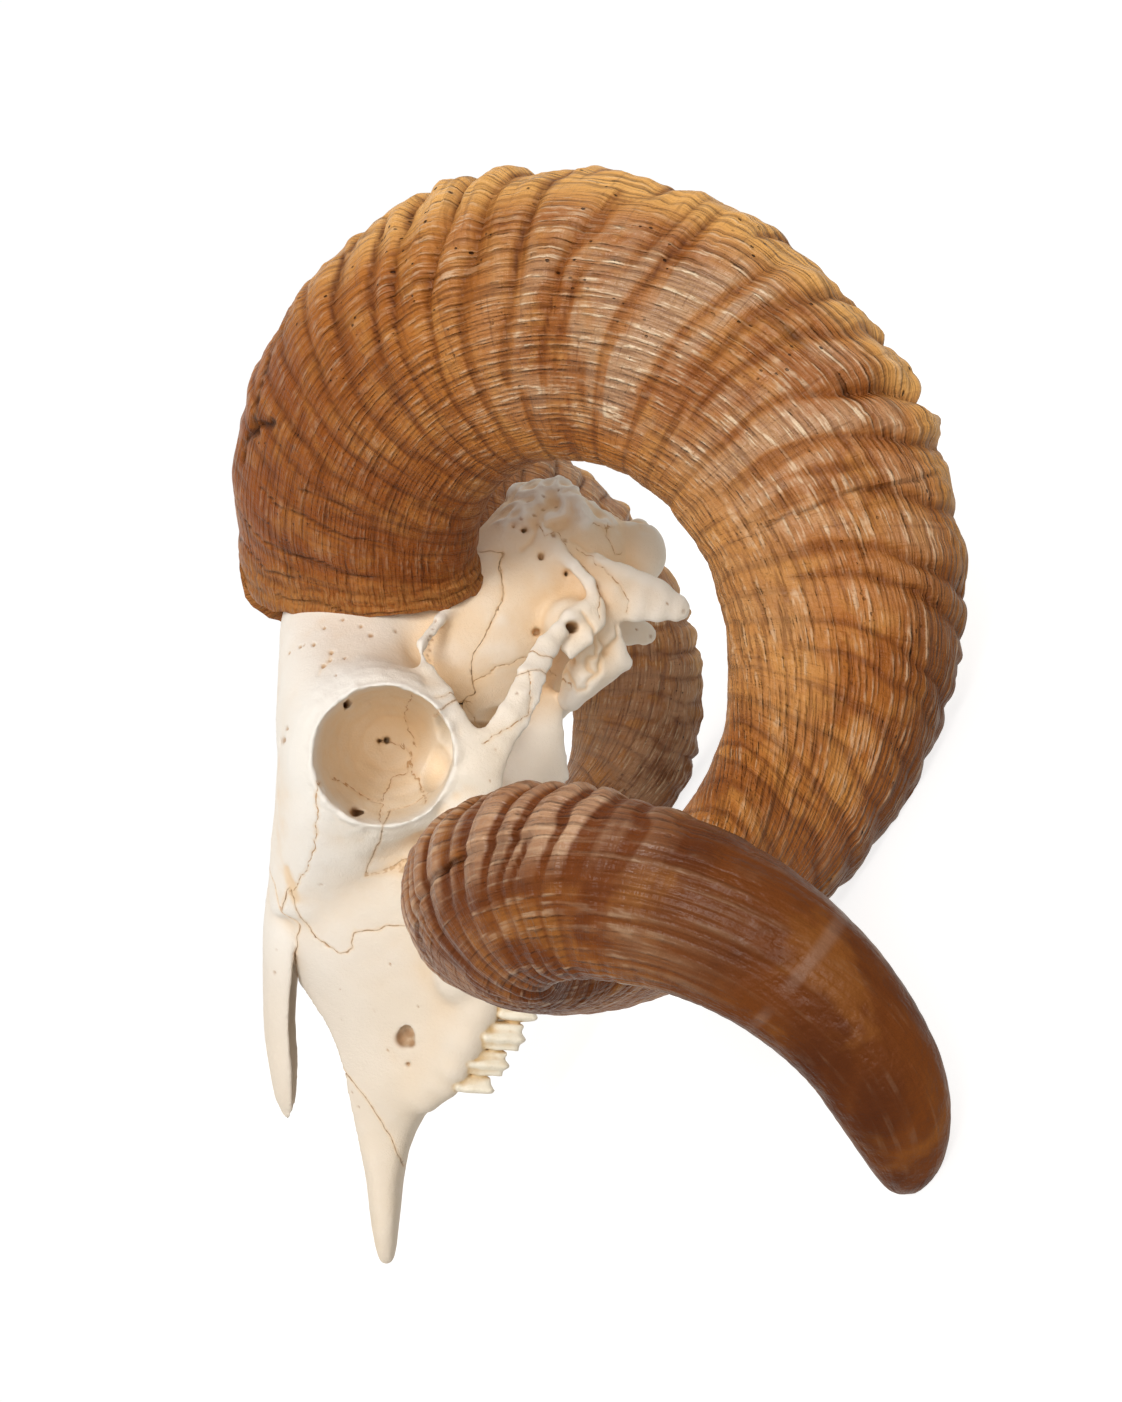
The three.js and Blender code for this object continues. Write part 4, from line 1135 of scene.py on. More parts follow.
take(bar([[45, 8, 6.5, 5, 2.6], [43, 3, 4, 6, 3]]), 1.5)
take(bar([[63.2, -13, 17.6, 3, 4], [61.2, -6, 14, 3, 4], [59.6, 1, 11, 3, 3.6], [56, 8, 8.4, 3, 3.2]]), 1)
take(egg((62.5, -55, 79.5), (4, 9, 5), (12, 0, 0)), 4)
print("large openings cut")

# %% Small holes
HOLES = [
    [(56, 21.6, 0.6, 1.9, 2.7), (43, 21.4, 1.0, 1.8, 2.5), (30, 22, 2, 1.8, 1.8)],
    [(42, -117.5, 57.3, 3.2, 2.3), (33, -117.6, 56.6, 3.1, 2.5), (27, -117.6, 55.6, 2.9, 2.6),
     (19, -104, 52, 2.6, 2.8)],
    [(40, -119.2, 53.8, 1.4, 1.2), (28, -119, 53.6, 1.5, 1.3)],
    [(36, -127, 55, 0.9, 0.9), (24, -126, 54.5, 0.8, 0.8)],
    [(40, -125, 71.3, 0.5, 0.5), (20, -125, 71.3, 0.4, 0.4)],
    [(30, -16, 63.3, 1.5, 1.5), (8, -15.5, 63.3, 1.2, 1.2)],
    [(30, -16, 66.2, 1.0, 1.0), (10, -16, 66, 0.8, 0.8)],
    [(60, -3, 77.5, 1.6, 2.1), (44, -5, 76.7, 1.5, 2.0), (34, -6, 78, 1, 1)],
    [(60, -41, 72.4, 1.3, 2.1), (48, -41, 71.8, 1.3, 2.0), (40, -42, 71, 1, 1.4)],
    [(44, 20.2, 12.8, 1.7, 1.7), (28, 21.5, 11.5, 1.3, 1.3)],
    [(42, 41.7, 1.4, 1.0, 1.0), (28, 41.7, 1.6, 0.8, 0.8)],
    [(40, 57.6, 16.1, 1.2, 1.2), (22, 57.4, 16.0, 0.9, 0.9)],
    [(40, 59.3, 19.7, 0.5, 0.5), (22, 59.2, 19.6, 0.5, 0.5)],
    [(40, 50.5, 11.0, 0.9, 2.2), (36, 48.2, 10.5, 1.8, 1.2), (28, 46.6, 10.3, 0.8, 0.8)],
    [(24, -30, 112, 1.7, 1.7), (22, -24, 94, 1.3, 1.3)],
    [(40, -18, 97, 0.8, 1.4), (26, -17, 94, 0.8, 1.2)],
    [(15, 51, -9, 2.4, 2.4), (24, 46, -16, 1.8, 1.8)],
]
for stations in HOLES:
    take(bar(stations, 1.0, 4.0), 0.9)
for stations in ([(28.5, -121, 53, 0.5, 0.5), (28.8, -117.4, 55.2, 0.45, 0.45), (28.2, -115.2, 59, 0.5, 0.5)],
                 [(29.4, -118.6, 51.8, 0.45, 0.45), (29.2, -117.0, 55.4, 0.4, 0.4)]):
    add(bar(stations, 0.6, 3.0), 0.6)
print("small holes cut:", len(HOLES))

# %% [markdown]
# ## Room for the horns
# The bone was to end just under the sheath, with a gap of a third of a millimetre and a porous edge.
# A known fault is left here. The sheath's mesh is already in metres on the table, so in this block
# of millimetres it is a speck near the middle, and next to nothing is cut.
# The bone runs on, unseen, inside the sheath, and the porous edge doesn't show.
# Reading the sheath's points before put_on_table would mend it, and would change the look.

# %% Cut the sheath out of the bone
TRUE_WITHIN = 6
SHEATH_GAP = 0.35


def distance_to_mesh(points, mesh):
    """Distance from a mesh at every cell, negative inside, true within TRUE_WITHIN millimetres."""
    mesh.calc_loop_triangles()
    corners = np.empty(len(mesh.loop_triangles) * 3, np.int32)
    mesh.loop_triangles.foreach_get("vertices", corners)
    cells = ((points - BLOCK_LOW) / CELL).astype(np.float32)
    grid = vdb.FloatGrid.createLevelSetFromPolygons(
        cells, triangles=corners.reshape(-1, 3).astype(np.uint32), halfWidth=TRUE_WITHIN / CELL)
    found = np.full(COUNTS, TRUE_WITHIN / CELL, np.float32)
    grid.copyToArray(found)
    return found * CELL


from_sheath = distance_to_mesh(read_points(sheath_left), sheath_left)
bone_field = -soft_min(-bone_field, from_sheath - SHEATH_GAP, 0.4)
outside_sheath = np.minimum.accumulate(from_sheath, axis=0)
bone_field = np.where(outside_sheath < 0, np.maximum(bone_field, 1.0), bone_field)
print("cells inside the sheath:", int((from_sheath < 0).sum()))

# %% [markdown]
# ## Seams
# The bones of a skull meet in seams as fine as a saw cut, and many are finely toothed.
# Each bone's outline is drawn from the side, then shaken by
# fine noise, and what is left at the end is the braincase.
# Lines that don't part two pieces are drawn on the surface as grooves instead.

# %% Outlines of the bones
NASAL_LINE = [(-210, 125), (-210, 93.9), (-90, 93.8), (-80, 92.2), (-74, 91.2), (-66.5, 94), (-50, 97),
              (-40, 125)]
PREMAXILLA_LINE = [(-220, 40), (-172, 40), (-164, 55.6), (-154, 59.6), (-145.2, 64.6), (-139.3, 68.5),
                   (-132.4, 74.5), (-127.5, 78.4), (-119.7, 82.4), (-114, 86), (-112, 92.5), (-160, 99),
                   (-220, 99)]
MAXILLA_LINE = [(-175, 20), (-40, -20), (-46, 30), (-58, 44), (-70, 50), (-78, 54), (-80, 66),
                (-81, 73.5), (-87, 73), (-88.5, 78), (-86, 82), (-83, 86.5), (-76, 91.5), (-71.5, 93),
                (-66.5, 95), (-80, 101), (-175, 101)]
CHEEK_LINE = [(-82, 74.5), (-81, 60), (-76, 48), (-60, 20), (-26, 12), (-2, 3), (6, 12), (-1, 36),
              (-6, 41.5), (-8, 45), (-9.5, 48), (-22, 50), (-34, 58), (-45, 63.2), (-50, 64.2), (-59, 68),
              (-68, 72.3), (-76, 75.6)]
FRONTAL_LINE = [(-90, 73), (-82, 62), (-70, 36), (-26, 36), (-4, 37), (-4, 40), (0, 32.5), (3.7, 33.3),
                (10, 34.4), (15, 32.4), (21, 28.8), (28.7, 25.5), (33.9, 23.3), (38.3, 24), (43.5, 24.7),
                (49, 24), (51, 40), (60, 60), (100, 62), (100, 145), (-100, 145)]


def toothed_outline(line, size, seed):
    """An outline's distance, the same at every x, with fine teeth."""
    y, z = LINES[1][:, None], LINES[2][None, :]
    flat = line_distance(y, z, line, closed=True)
    near = np.abs(flat) < 4
    yy, zz = np.broadcast_arrays(y, z)
    teeth = np.zeros(flat.shape)
    spots = np.stack([0 * yy[near], yy[near], zz[near]], -1)
    teeth[near] = size * (0.8 * noise(spots, 3.1, seed) + 0.55 * noise(spots, 1.6, seed + 1))
    return (flat + teeth).astype(np.float32)[None]


NASAL_HALF, NASAL_BACK, CHEEK_INNER = 24.5, -51.5, 43
x_line = np.abs(LINES[0]).astype(np.float32)[:, None, None]
y_line = LINES[1].astype(np.float32)[None, :, None]
nasal_ends = np.maximum(x_line - NASAL_HALF, y_line + 0.55 * x_line - NASAL_BACK)
regions = {
    "nasal": np.maximum(toothed_outline(NASAL_LINE, 0.5, 61), nasal_ends),
    "premaxilla": toothed_outline(PREMAXILLA_LINE, 0.35, 62),
    "maxilla": toothed_outline(MAXILLA_LINE, 0.9, 63),
    "zygomatic": np.maximum(toothed_outline(CHEEK_LINE, 0.5, 64), CHEEK_INNER - x_line),
    "frontal": toothed_outline(FRONTAL_LINE, 0.7, 65),
}
print("outlines:", ", ".join(regions))

# %% Part the bones
HALF_SEAM = 0.06
left_over = bone_field
bones = {}
for name, region in regions.items():
    region = np.broadcast_to(region, tuple(COUNTS))
    bones[name] = np.maximum(left_over, region + HALF_SEAM)
    left_over = np.maximum(left_over, HALF_SEAM - region)
bones["braincase"] = left_over
print("parted into", ", ".join(bones))

# %% [markdown]
# ## From distances to meshes
# A mesher turns each bone's distances into quads, about one for each cell its surface passes through.
# Crumbs that crossing seams leave are dropped, and a
# light smoothing takes the last of the cell pattern out.

# %% Throw a net round a bone


def largest_part(points, quads):
    """The connected piece with the most points."""
    label = np.arange(len(points))
    pairs = np.concatenate([quads[:, [0, 1]], quads[:, [1, 2]], quads[:, [2, 3]], quads[:, [3, 0]]])
    while True:
        least = np.minimum(label[pairs[:, 0]], label[pairs[:, 1]])
        before = label.copy()
        np.minimum.at(label, pairs[:, 0], least)
        np.minimum.at(label, pairs[:, 1], least)
        label = label[label]
        label = label[label]
        if (label == before).all():
            break
    names, counts = np.unique(label, return_counts=True)
    stay = label == names[counts.argmax()]
    renumber = np.cumsum(stay) - 1
    return points[stay], renumber[quads[stay[quads[:, 0]]]]


def relaxed(points, quads, times=2, strength=0.5):
    """Points moved towards the mean of their neighbours."""
    pairs = np.concatenate([quads[:, [0, 1]], quads[:, [1, 2]], quads[:, [2, 3]], quads[:, [3, 0]]])
    count = np.bincount(pairs[:, 0], minlength=len(points)) + np.bincount(pairs[:, 1], minlength=len(points))
    for _ in range(times):
        total = np.zeros_like(points)
        for axis in range(3):
            total[:, axis] = (np.bincount(pairs[:, 0], points[pairs[:, 1], axis], len(points))
                              + np.bincount(pairs[:, 1], points[pairs[:, 0], axis], len(points)))
        points = points + strength * (total / count[:, None] - points)
    return points


def netted(field):
    """Points in skull millimetres and quads round the inside of a distance block."""
    grid = vdb.FloatGrid(6.0)
    grid.copyFromArray(np.clip(field / CELL, -6, 6).astype(np.float32))
    points, quads = grid.convertToQuads(0.0)
    points = points.astype(float) * CELL + BLOCK_LOW
    points, quads = largest_part(points, quads.astype(np.int64))
    return relaxed(points, quads), quads


HALF_MIDDLE_SEAM = 0.15
meshes = {}
for name in regions:
    half = np.maximum(bones[name], (HALF_MIDDLE_SEAM - LINES[0]).astype(np.float32)[:, None, None])
    meshes[name] = netted(half)
    print(name, len(meshes[name][1]), "quads")

right_half = bones["braincase"][3:]
whole = np.concatenate([right_half[:0:-1], right_half])
points, quads = netted(whole)
points[:, 0] -= BLOCK_LOW[0] + (len(right_half) - 1) * CELL
meshes["braincase"] = (points, quads)
print("braincase", len(quads), "quads, half widths", points[:, 0].min().round(1), points[:, 0].max().round(1))

# %% [markdown]
# ## Fine relief of the bone
# The last tenths of a millimetre are moved straight on the mesh: grooves along the drawn
# seams, a faint swell, the knobs of the nape, and the porous band under the horns.
# Both sides of a seam are moved in the same direction, the
# steepest way out of the whole skull, so a seam stays open.
# The same measures are kept on the mesh, and the colours read them there: brown in seams and pores,
# painted shade in hollows and deep places, and a painted highlight on what stands out.

# %% Reading the block at a point


def read_block(field, points, cell=CELL):
    """A block's value at points, between its cells. The right half reads the left."""
    at = (np.stack([np.abs(points[:, 0]), points[:, 1], points[:, 2]], -1) - BLOCK_LOW) / cell
    base = np.clip(np.floor(at).astype(int), 0, np.array(field.shape) - 2)
    part = np.clip(at - base, 0, 1)
    total = np.zeros(len(points))
    for corner in range(8):
        step = np.array([corner & 1, corner >> 1 & 1, corner >> 2 & 1])
        i, j, k = (base + step).T
        total += field[i, j, k] * np.prod(np.where(step, part, 1 - part), axis=1)
    return total


def slope_at(points, read, reach):
    """How fast a measure grows in each direction at points."""
    steps = reach * np.eye(3)
    return np.stack([(read(points + step) - read(points - step)) / (2 * reach) for step in steps], -1)


def blurred(field, times):
    """A block averaged with its neighbours, over and over."""
    field = field.copy()
    for axis in range(3):
        moved = np.moveaxis(field, axis, 0)
        for _ in range(times):
            moved[1:-1] = moved[1:-1] * 0.5 + (moved[:-2] + moved[2:]) * 0.25
    return field


soft_near = blurred(np.clip(bone_field, -5, 5), round(4 / CELL))
coarse = blurred(np.clip(bone_field, -12, 12)[::2, ::2, ::2], round(9 / CELL / CELL))


def way_out(points):
    """The steepest way out of the whole skull, a little smoothed."""
    slope = slope_at(points, lambda p: read_block(soft_near, p), 0.8)
    return slope / np.maximum(np.linalg.norm(slope, axis=1, keepdims=True), 0.3)


print("blocks for hollows ready")

# %% [markdown]
# A net rounds off the edge where a seam meets the surface,
# and a row of rounded edges looks like a wide gutter.
# So points near such an edge are moved onto it: to where
# both the skull's distance and the cut's are nought.

# %% Draw the edges of a seam tight


def cut_measure(name, points):
    """How far outside the cuts round its bone a point is."""
    own = list(regions)
    own = own[:own.index(name) + 1] if name in own else own
    far = np.full(len(points), -9.0) if name == "braincase" else HALF_MIDDLE_SEAM - np.abs(points[:, 0])
    for other in own:
        region = np.broadcast_to(regions[other], tuple(COUNTS))
        value = read_block(region, points)
        far = np.maximum(far, HALF_SEAM + (value if other == name else -value))
    return far


def tightened(name, points):
    """Points close to both the skull's surface and a cut, moved onto the edge where the two meet."""
    for _ in range(3):
        surface, cut = read_block(bone_field, points), cut_measure(name, points)
        near = (np.abs(surface) < 0.8 * CELL) & (np.abs(cut) < 0.8 * CELL)
        spots = points[near]
        a = slope_at(spots, lambda p: read_block(bone_field, p), 0.4)
        b = slope_at(spots, lambda p: cut_measure(name, p), 0.4)
        aa, ab, bb = (a * a).sum(1), (a * b).sum(1), (b * b).sum(1)
        f, g = surface[near], cut[near]
        room = np.maximum(aa * bb - ab * ab, 0.15)
        move = -(a * ((bb * f - ab * g) / room)[:, None] + b * ((aa * g - ab * f) / room)[:, None])
        length = np.linalg.norm(move, axis=1, keepdims=True)
        points[near] = spots + move * np.minimum(1, 0.7 * CELL / np.maximum(length, 1e-6))
    return points


for name, (points, quads) in meshes.items():
    meshes[name] = (tightened(name, points), quads)
print("seams tightened")

# %% [markdown]
# Some seams part no two pieces here, such as those of the braincase, and some are closed by age.
# They are drawn as lines of (y, z) points from the side,
# each with the nearest and farthest x at which it shows.

# %% Seams that are only drawn
DRAWN = [
    (20, 75, [(48.7, 23.6), (43.5, 24.7), (38.3, 24), (33.9, 23.2), (28.7, 25.4), (21.3, 28.7)]),
    (20, 75, [(59.3, 11.4), (54.9, 8.5), (56.8, 4.3), (50.9, 1.3), (45.7, -2.4), (42, -6.5), (37.5, -8.8),
              (33, -9.9), (30, -8.4), (24.7, -8.7)]),
    (14, 75, [(50.6, -2.6), (44.6, -9.4), (39.4, -14.7), (36.4, -17.3), (31.9, -19.6), (28.2, -19.6)]),
    (0, 75, [(60, -7.9), (59.3, -11.8), (60.1, -15.3)]),
    (8, 75, [(60.1, -13.5), (55.4, -13.7), (50, -16.4), (50.8, -18.7)]),
    (50, 75, [(4.8, 16.3), (-2.9, 15.9), (-9.2, 16.9), (-13.5, 21.5), (-17, 28.4), (-19.1, 31.2)]),
    (10, 40, [(-17.8, 56.7), (-20, 55.2), (-23.6, 54.8), (-28, 53.7), (-31.7, 51.5), (-39.7, 49.6)]),
    (10, 48, [(-4, 36), (-9, 33), (-16, 30), (-24, 31)]),
    (30, 75, [(-130, 66), (-124, 68), (-118, 71), (-113, 70), (-110, 73)]),
    (12, 52, [(-3.5, 55), (-5.4, 56.4), (-9.8, 56.7), (-13.4, 55.6), (-17.4, 53.4)]),
    (8, 50, [(-16.1, 63), (-17.8, 59.3), (-19.3, 56), (-23.3, 55.2), (-27, 56.3), (-28.5, 60.7),
             (-31.5, 62.5), (-37.2, 64)]),
    (14, 58, [(-29.8, 80.1), (-32.6, 73.7), (-35.5, 70.2), (-37.2, 67.3), (-38.3, 64.2), (-44, 64.1)]),
    (14, 52, [(-25.8, 54.8), (-29.5, 52.6), (-34.6, 50.3), (-39.7, 49.6)]),
    (30, 75, [(-32.1, 83.5), (-35.6, 84.2), (-41.9, 83.7), (-47.4, 85), (-53, 85.6), (-58.5, 87.2),
              (-62.9, 90.7), (-66.5, 93.5)]),
    (34, 75, [(-81, 73.5), (-88.3, 72.3)]),
    (20, 75, [(-4.1, 47), (-3.3, 39.8), (-2.9, 34)]),
    (18, 75, [(3.7, 33.3), (8, 27), (12, 15), (8, 4), (2, 0)]),
]
print("drawn seams:", len(DRAWN))


def drawn_seams(points):
    """How far a point is from the nearest drawn seam, and the same with a sign for its two sides."""
    x, y, z = np.abs(points[:, 0]), points[:, 1], points[:, 2]
    near = np.full(len(points), 9.0)
    side = np.full(len(points), 9.0)
    y = y + 0.7 * noise(points, 3.0, 90) + 0.5 * noise(points, 1.4, 91)
    z = z + 0.7 * noise(points, 3.0, 92) + 0.5 * noise(points, 1.4, 93)
    for x_low, x_high, line in DRAWN:
        for (y0, z0), (y1, z1) in zip(line[:-1], line[1:]):
            run = (y1 - y0) ** 2 + (z1 - z0) ** 2
            t = np.clip(((y - y0) * (y1 - y0) + (z - z0) * (z1 - z0)) / run, 0, 1)
            dy, dz = y - y0 - t * (y1 - y0), z - z0 - t * (z1 - z0)
            off = np.maximum(np.maximum(x_low - x, x - x_high), 0)
            far = np.sqrt(dy * dy + dz * dz + off * off)
            cross = dy * (z1 - z0) - dz * (y1 - y0)
            closer = far < near
            near = np.where(closer, far, near)
            side = np.where(closer, far * np.sign(cross), side)
    return near, side


# %% [markdown]
# Round the ear the bone is folded where muscles held on, and small vessels leave pits all over the skull.
# A fold has its nearest and farthest x, its depth, its
# half width and its line. A pit has its y, z and size.

# %% Folds and pits of the surface
FOLDS = [
    (26, 60, 0.9, 0.9, [(26.3, -2.7), (22.6, -6), (18.2, -7.8), (12.3, -8.7), (10.8, -5.2), (8.2, -6),
                        (6, -8.7), (4.1, -5.7), (1.3, -4.7), (0.8, -1.9), (6.3, 0.7), (12.2, 3.9)]),
    (24, 60, 0.9, 1.0, [(23.3, -15.9), (19.2, -16.7), (13.2, -11), (9.8, -10), (7.2, -10), (3, -5)]),
    (15, 60, 0.5, 0.9, [(49.8, 17.2), (52.1, 14.6), (55.6, 12.4), (59, 11.6)]),
    (10, 60, 0.5, 0.8, [(54, -0.3), (51.4, -4.1), (48, -8.7), (46.6, -15.5)]),
    (8, 60, 0.6, 0.8, [(61, 9.5), (58.5, 8.6), (60, 6.6), (57.2, 5.4), (58.4, 3)]),
    (30, 75, 0.35, 1.2, [(23.6, 47), (17.9, 48.1), (14.4, 48.7), (10.8, 49), (7.3, 49)]),
    (30, 75, 0.35, 0.9, [(12, 81.4), (9.2, 81.6), (6.6, 83.8), (3.5, 85)]),
    (20, 75, 0.5, 1.6, [(-60, 95.8), (-64.5, 94.4), (-70.5, 92.6)]),
]
PITS = [
    (12.0, 81.2, 0.9), (9.0, 81.6, 0.6), (7.0, 83.6, 1.0), (15.2, 87.6, 0.9), (14.8, 92.3, 0.8),
    (15.3, 90.9, 0.5), (9.6, 76.6, 0.7), (13.0, 96.4, 0.6), (-13.9, 94.9, 0.9), (-17.6, 96.2, 1.5),
    (3.2, 79.0, 0.5), (18.6, 68.5, 1.1), (22.0, 72.0, 0.9), (20.4, 60.2, 0.8), (24.6, 78.4, 0.8),
    (21.5, 84.5, 0.7), (23.8, 47.0, 0.7), (20.6, 47.6, 0.5), (17.9, 48.1, 0.8), (16.2, 48.9, 0.5),
    (14.2, 48.5, 0.7), (12.4, 49.3, 0.5), (10.6, 48.8, 0.6), (8.4, 49.4, 0.45), (63.2, 12.4, 0.8),
    (65.5, 9.2, 0.7), (68.8, 14.0, 0.6), (70.4, 8.6, 0.8), (66.8, 4.6, 0.7), (61.6, 17.0, 0.7),
    (73.0, 3.2, 0.6), (59.3, 19.7, 0.5), (55.2, 6.0, 1.3), (53.4, 2.0, 0.9), (28.5, -39.2, 0.8),
    (31.2, -33.4, 0.6), (-40.8, 72.4, 2.2), (-117.9, 57.0, 3.3), (-116.2, 54.6, 2.2), (-119.0, 53.9, 1.8),
    (-96.2, 101.0, 0.7), (-88.4, 100.2, 0.45), (-121.5, 61.8, 0.45), (-108.0, 66.2, 0.5),
    (-101.2, 78.0, 0.4), (-142.0, 71.6, 0.5), (-128.8, 81.6, 0.45), (-137.4, 74.0, 0.4),
    (-92.0, 61.0, 0.45), (-21.0, 27.8, 0.5), (-2.6, 20.6, 0.6), (-31.0, 29.4, 0.45), (-106.4, 51.5, 0.5),
    (-112.0, 77.5, 0.4), (-64.8, 84.0, 0.5),
]


def folds_and_pits(points):
    """How deep the folds are at points, and how much of a pit is there."""
    x, y, z = np.abs(points[:, 0]), points[:, 1], points[:, 2]
    shaken_y, shaken_z = y + 0.6 * noise(points, 2.6, 95), z + 0.6 * noise(points, 2.6, 96)
    depth = np.zeros(len(points))
    for x_low, x_high, deep, width, line in FOLDS:
        near = line_distance(shaken_y, shaken_z, line)
        depth = np.maximum(depth, deep * np.exp(-(near / width) ** 2) * ((x > x_low) & (x < x_high)))
    pit = np.zeros(len(points))
    for at_y, at_z, size in PITS:
        far = np.hypot(y - at_y, z - at_z)
        pit = np.maximum(pit, np.exp(-(far / (0.75 * size)) ** 4) * (x > 6))
    return depth, pit


print("folds:", len(FOLDS), "pits:", len(PITS))

# %% Detail on each bone


def detailed_bone(name):
    """Moves the points of a bone for its fine relief, and gives what its colours need."""
    points, quads = meshes[name]
    seam = np.abs(cut_measure(name, points)) + HALF_SEAM
    line, side = drawn_seams(points)
    fold, pit = folds_and_pits(points)
    from_horn = np.maximum(read_block(from_sheath, points), 0)
    enamel = ramp(read_block(tooth_field, points), 0.9, 0.3)
    x, y, z = np.abs(points[:, 0]), points[:, 1], points[:, 2]
    from_eye = np.stack([x, y, z], -1) - EYE_AT
    out_of_eye = from_eye @ EYE_OUT
    from_axis = np.linalg.norm(from_eye - out_of_eye[:, None] * EYE_OUT, axis=1)
    # The inside of the eye socket, which the colours paint tan as shade.
    socket_shade = ramp(out_of_eye, -0.8, -8) * ramp(from_axis, RIM + 1.5, RIM - 2)
    grooves = 0.16 * np.exp(-(line / 0.6) ** 2) + 0.10 * np.exp(-(seam / 0.6) ** 2) + fold + 0.6 * pit
    nape = ramp(y, 54, 64) * ramp(z, 34, 14)
    swell = 0.30 * noise(points, 12, 70) + 0.14 * noise(points, 5, 71) + 0.05 * noise(points, 2.2, 72)
    near_rim = np.exp(-((from_axis - RIM - 1.5) / 3.0) ** 2) * np.exp(-(out_of_eye / 4.0) ** 2)
    porous = np.clip(1.35 * np.exp(-from_horn / 4.5) - 0.36, 0, 1) * (y < 34)
    # The gap behind the socket's bar, which the colours paint brown as shade.
    shade_behind_bar = ramp(x, 43, 36) * ramp(y, -20.5, -19) * ramp(y, -8.6, -10)
    shade_behind_bar = shade_behind_bar * ramp(z, 25, 27) * ramp(z, 40.5, 38.5)
    pores = porous * np.maximum(noise(points * [1, 0.55, 1], 1.7, 73) - 0.2, 0) * 1.3
    knobs = 0.9 * (1 - 2.6 * np.abs(noise(points, 6.5, 79)))
    knobs = knobs + 0.6 * noise(points, 4.5, 76) + 0.5 * noise(points, 2.2, 77)
    rough = nape * knobs + 0.25 * porous * noise(points, 3, 74)
    out = (swell + rough - grooves - pores) * (1 - 0.85 * enamel) + near_rim * (0.45 * noise(points, 2.6, 75))
    points = points + way_out(points) * out[:, None]
    # How hollow or raised a point is: the colours paint shade into hollows and a highlight onto what stands
    # out.
    hollow = np.clip(-read_block(soft_near, points) / 0.9 - 0.16 * nape * knobs, -1, 1)
    # Painted shade: the bone behind the eye socket and below the horn counts as deeper, so it takes more tan.
    fossa_shade = 0.22 * ramp(points[:, 1], -22, 0) * ramp(points[:, 2], 62, 45)
    deep = np.clip(-read_block(coarse, points, 2 * CELL) / 5.5 + fossa_shade, -1, 1)
    muzzle = ramp(points[:, 1], -62, -110)
    warm = 0.6 * ramp(points[:, 2], 88, 48) + 0.55 * ramp(points[:, 1], -80, -150)
    warm = np.clip(warm + 0.35 * noise(points, 24, 78), 0, 1)
    pitted = np.maximum(pit, ramp(pores, 0.1, 0.4) * 0.8)
    kept = {"warm": warm, "muzzle": muzzle, "hollow": hollow, "deep": deep, "seam": seam, "line": side,
            "line_near": line, "porous": porous, "pit": pitted, "enamel": enamel, "socket_shade": socket_shade,
            "shade_behind_bar": shade_behind_bar}
    return points, quads, kept


def make_mesh(name, points, quads, kept):
    mesh = bpy.data.meshes.new(name)
    mesh.vertices.add(len(points))
    mesh.loops.add(4 * len(quads))
    mesh.polygons.add(len(quads))
    mesh.loops.foreach_set("vertex_index", quads.astype(np.int32).ravel())
    mesh.polygons.foreach_set("loop_start", np.arange(0, 4 * len(quads), 4, dtype=np.int32))
    write_points(mesh, points)
    mesh.update(calc_edges=True)
    for key, values in kept.items():
        keep(mesh, key, values)
    return mesh


def volume(points, quads):
    a, b, c, d = (points[quads[:, k]] for k in range(4))
    return (np.cross(b - a, c - a) * (d - a) + np.cross(a, b) * c + np.cross(a, c) * d).sum() / 6


print("volume sign of the nasal net:", np.sign(volume(*meshes["nasal"])))

# %% [markdown]
# ## Dry bone
# Cleaned bone is ivory with brown seams and scattered pores. A painted highlight
# whitens what stands out, and painted shade turns its hollows warm tan and its deepest recesses near black.
# It is creamier towards the muzzle and the ear. Painted shade makes the
# eye socket tan and the gap behind the socket's bar brown.
# The enamel of the teeth is smoother, browner in its hollows as painted shade, and yellower in patches.
# Long soft noise keeps any two places from being the same colour.

# %% The bone finish


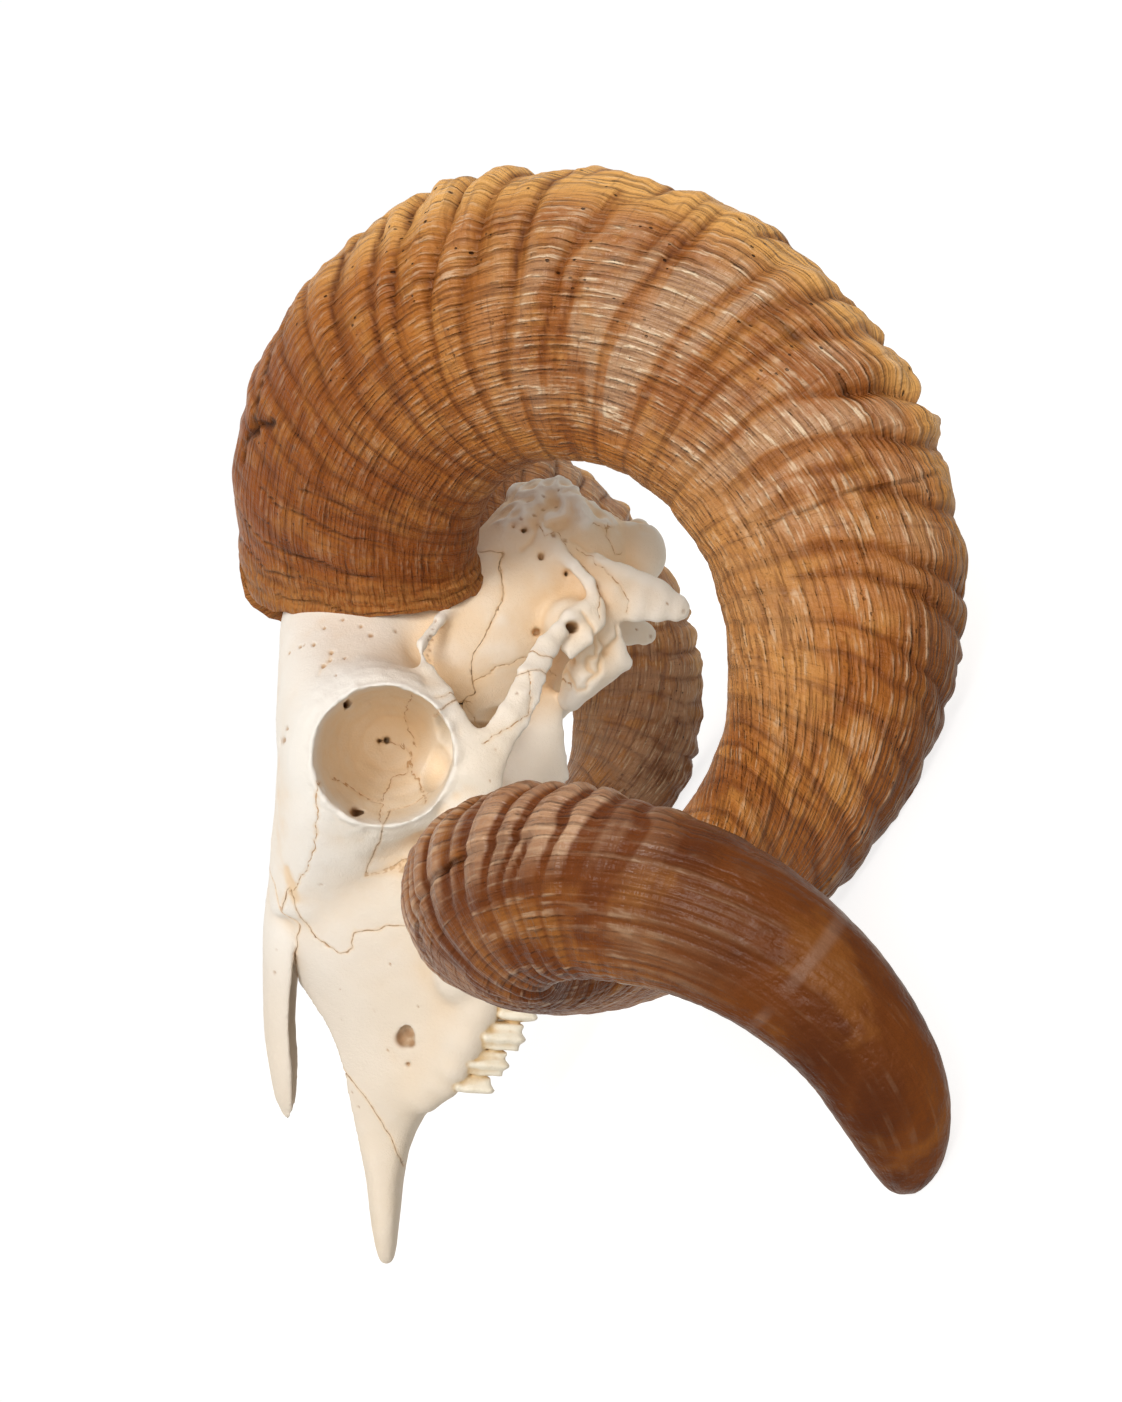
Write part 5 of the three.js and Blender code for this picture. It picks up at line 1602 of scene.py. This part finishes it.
def bone_finish():
    w = Wiring("dry_bone")
    at = w.scaled(w.node("TexCoord").outputs["Object"], (1000, 1000, 1000))
    hollow, deep, seam, pit = w.kept("hollow"), w.kept("deep"), w.kept("seam"), w.kept("pit")
    line, line_near, porous = w.kept("line"), w.kept("line_near"), w.kept("porous")
    enamel, socket_shade, shade_behind_bar = w.kept("enamel"), w.kept("socket_shade"), w.kept("shade_behind_bar")
    cloud = w.speckle(w.scaled(at, (0.04, 0.04, 0.04)), 4.0, 0.6, 0.3)
    blotch = w.speckle(w.scaled(at, (0.15, 0.15, 0.15)), 3.0, 0.6)
    dots = w.speckle(w.scaled(at, (0.55, 0.55, 0.55)), 1.0, 0.5)
    grain = w.speckle(w.scaled(at, (0.9, 0.9, 0.9)), 3.0, 0.65)
    dust = w.speckle(w.scaled(at, (3.2, 3.2, 3.2)), 2.0, 0.6)

    ivory, cream, tan = (0.895, 0.862, 0.815), (0.89, 0.78, 0.63), (0.83, 0.595, 0.355)
    brown, deep_brown, dark = (0.54, 0.31, 0.14), (0.34, 0.16, 0.055), (0.09, 0.04, 0.016)
    colour = w.mix(w.times(w.kept("warm"), w.step(cloud, 0.3, 0.6, 0.65, 1.0)), ivory, cream)
    # Painted shade: deep places and hollows turn tan. Painted highlight: what stands out turns whiter.
    colour = w.mix(w.times(w.step(deep, -0.2, 0.42), w.step(blotch, 0.2, 0.7, 0.75, 1.0)), colour, tan)
    colour = w.mix(w.step(hollow, 0.1, 0.8, 0.0, 0.7), colour, tan)
    colour = w.mix(w.step(hollow, -0.1, -0.8, 0.0, 0.65), colour, (0.94, 0.91, 0.86))
    # Painted shade: the inside of the eye socket is tan.
    colour = w.mix(w.times(socket_shade, w.step(blotch, 0.3, 0.7, 0.4, 0.7)), colour, (0.84, 0.66, 0.44))
    # Painted shade: the gap behind the socket's bar is brown.
    colour = w.mix(w.times(shade_behind_bar, w.step(blotch, 0.3, 0.7, 0.75, 0.95)), colour, (0.42, 0.245, 0.115))
    colour = w.mix(w.times(w.kept("muzzle"), 0.5), colour, (0.66, 0.545, 0.42))
    line_here = w.times(w.step(w.math("ABSOLUTE", line), 0.3, 0.08), w.step(line_near, 1.2, 0.8))
    broken = w.step(dots, 0.42, 0.58, 0.08, 0.9)
    colour = w.mix(w.times(w.step(line_near, 1.5, 0.2, 0.0, 0.35), w.step(blotch, 0.3, 0.6)), colour, tan)
    colour = w.mix(w.times(line_here, broken), colour, brown)
    colour = w.mix(w.step(seam, 1.0, 0.15, 0.0, 0.35), colour, tan)
    colour = w.mix(w.times(w.step(seam, 0.36, 0.14, 0.0, 0.7), broken), colour, brown)
    spot_at = w.scaled(at, (0.5, 0.5, 0.5))
    crowd = w.speckle(w.scaled(at, (0.06, 0.06, 0.06)), 2.0)
    pores = w.times(w.spots(spot_at, 0.11), w.step(crowd, 0.56, 0.68))
    streaks = w.step(w.speckle(w.scaled(at, (0.9, 0.32, 0.32)), 2.0, 0.6), 0.5, 0.64)
    colour = w.mix(w.times(porous, streaks, 0.75), colour, (0.60, 0.40, 0.24))
    colour = w.mix(w.times(pores, w.step(enamel, 0.5, 0.1), 0.06), colour, brown)
    colour = w.mix(w.times(pit, 0.7), colour, deep_brown)
    # The teeth: painted shade browns their hollows, and patches are yellower.
    tooth_colour = w.mix(w.step(hollow, -0.6, 0.35), (0.89, 0.82, 0.68), (0.62, 0.42, 0.2))
    tooth_colour = w.mix(w.step(blotch, 0.45, 0.7, 0.0, 0.4), tooth_colour, (0.80, 0.66, 0.44))
    colour = w.mix(enamel, colour, tooth_colour)
    # Painted shade: the deepest recesses are near black.
    colour = w.mix(w.step(w.math("ADD", hollow, deep), 1.6, 1.95, 0.0, 0.75), colour, dark)
    w.link(colour, w.shader.inputs["Base Color"])
    w.link(w.math("SUBTRACT", w.step(grain, 0.25, 0.75, 0.42, 0.62), w.times(enamel, 0.2)),
           w.shader.inputs["Roughness"])
    w.shader.inputs["IOR"].default_value = 1.5
    w.shader.inputs["Specular IOR Level"].default_value = 0.4
    normal = w.bump(grain, 0.00022)
    normal = w.bump(dust, 0.00012, normal)
    sunk = w.math("MAXIMUM", w.times(pores, 0.3), w.times(line_here, 0.4))
    normal = w.bump(w.math("SUBTRACT", 1.0, sunk), 0.0003, normal)
    w.link(normal, w.shader.inputs["Normal"])
    return w.material


dry_bone = bone_finish()

# %% [markdown]
# Each bone takes the place of its node in the frame. The left ones are mirrored for the right side.
# A mirror turns a mesh inside out, so its faces are flipped back.

# %% Put the bones in place
for name in meshes:
    points, quads, kept = detailed_bone(name)
    if volume(points, quads) < 0:
        quads = quads[:, ::-1]
    if name == "braincase":
        mesh = make_mesh(name, points, quads, kept)
        put_on_table(mesh)
        show("braincase_bone", mesh, dry_bone, ["braincase"])
        continue
    for side, word in ((1, "left"), (-1, "right")):
        mesh = make_mesh(f"{name}_{word}", points, quads, kept)
        put_on_table(mesh, side)
        show(f"{name}_bone_{word}", mesh, dry_bone, [f"{name}_{word}"])
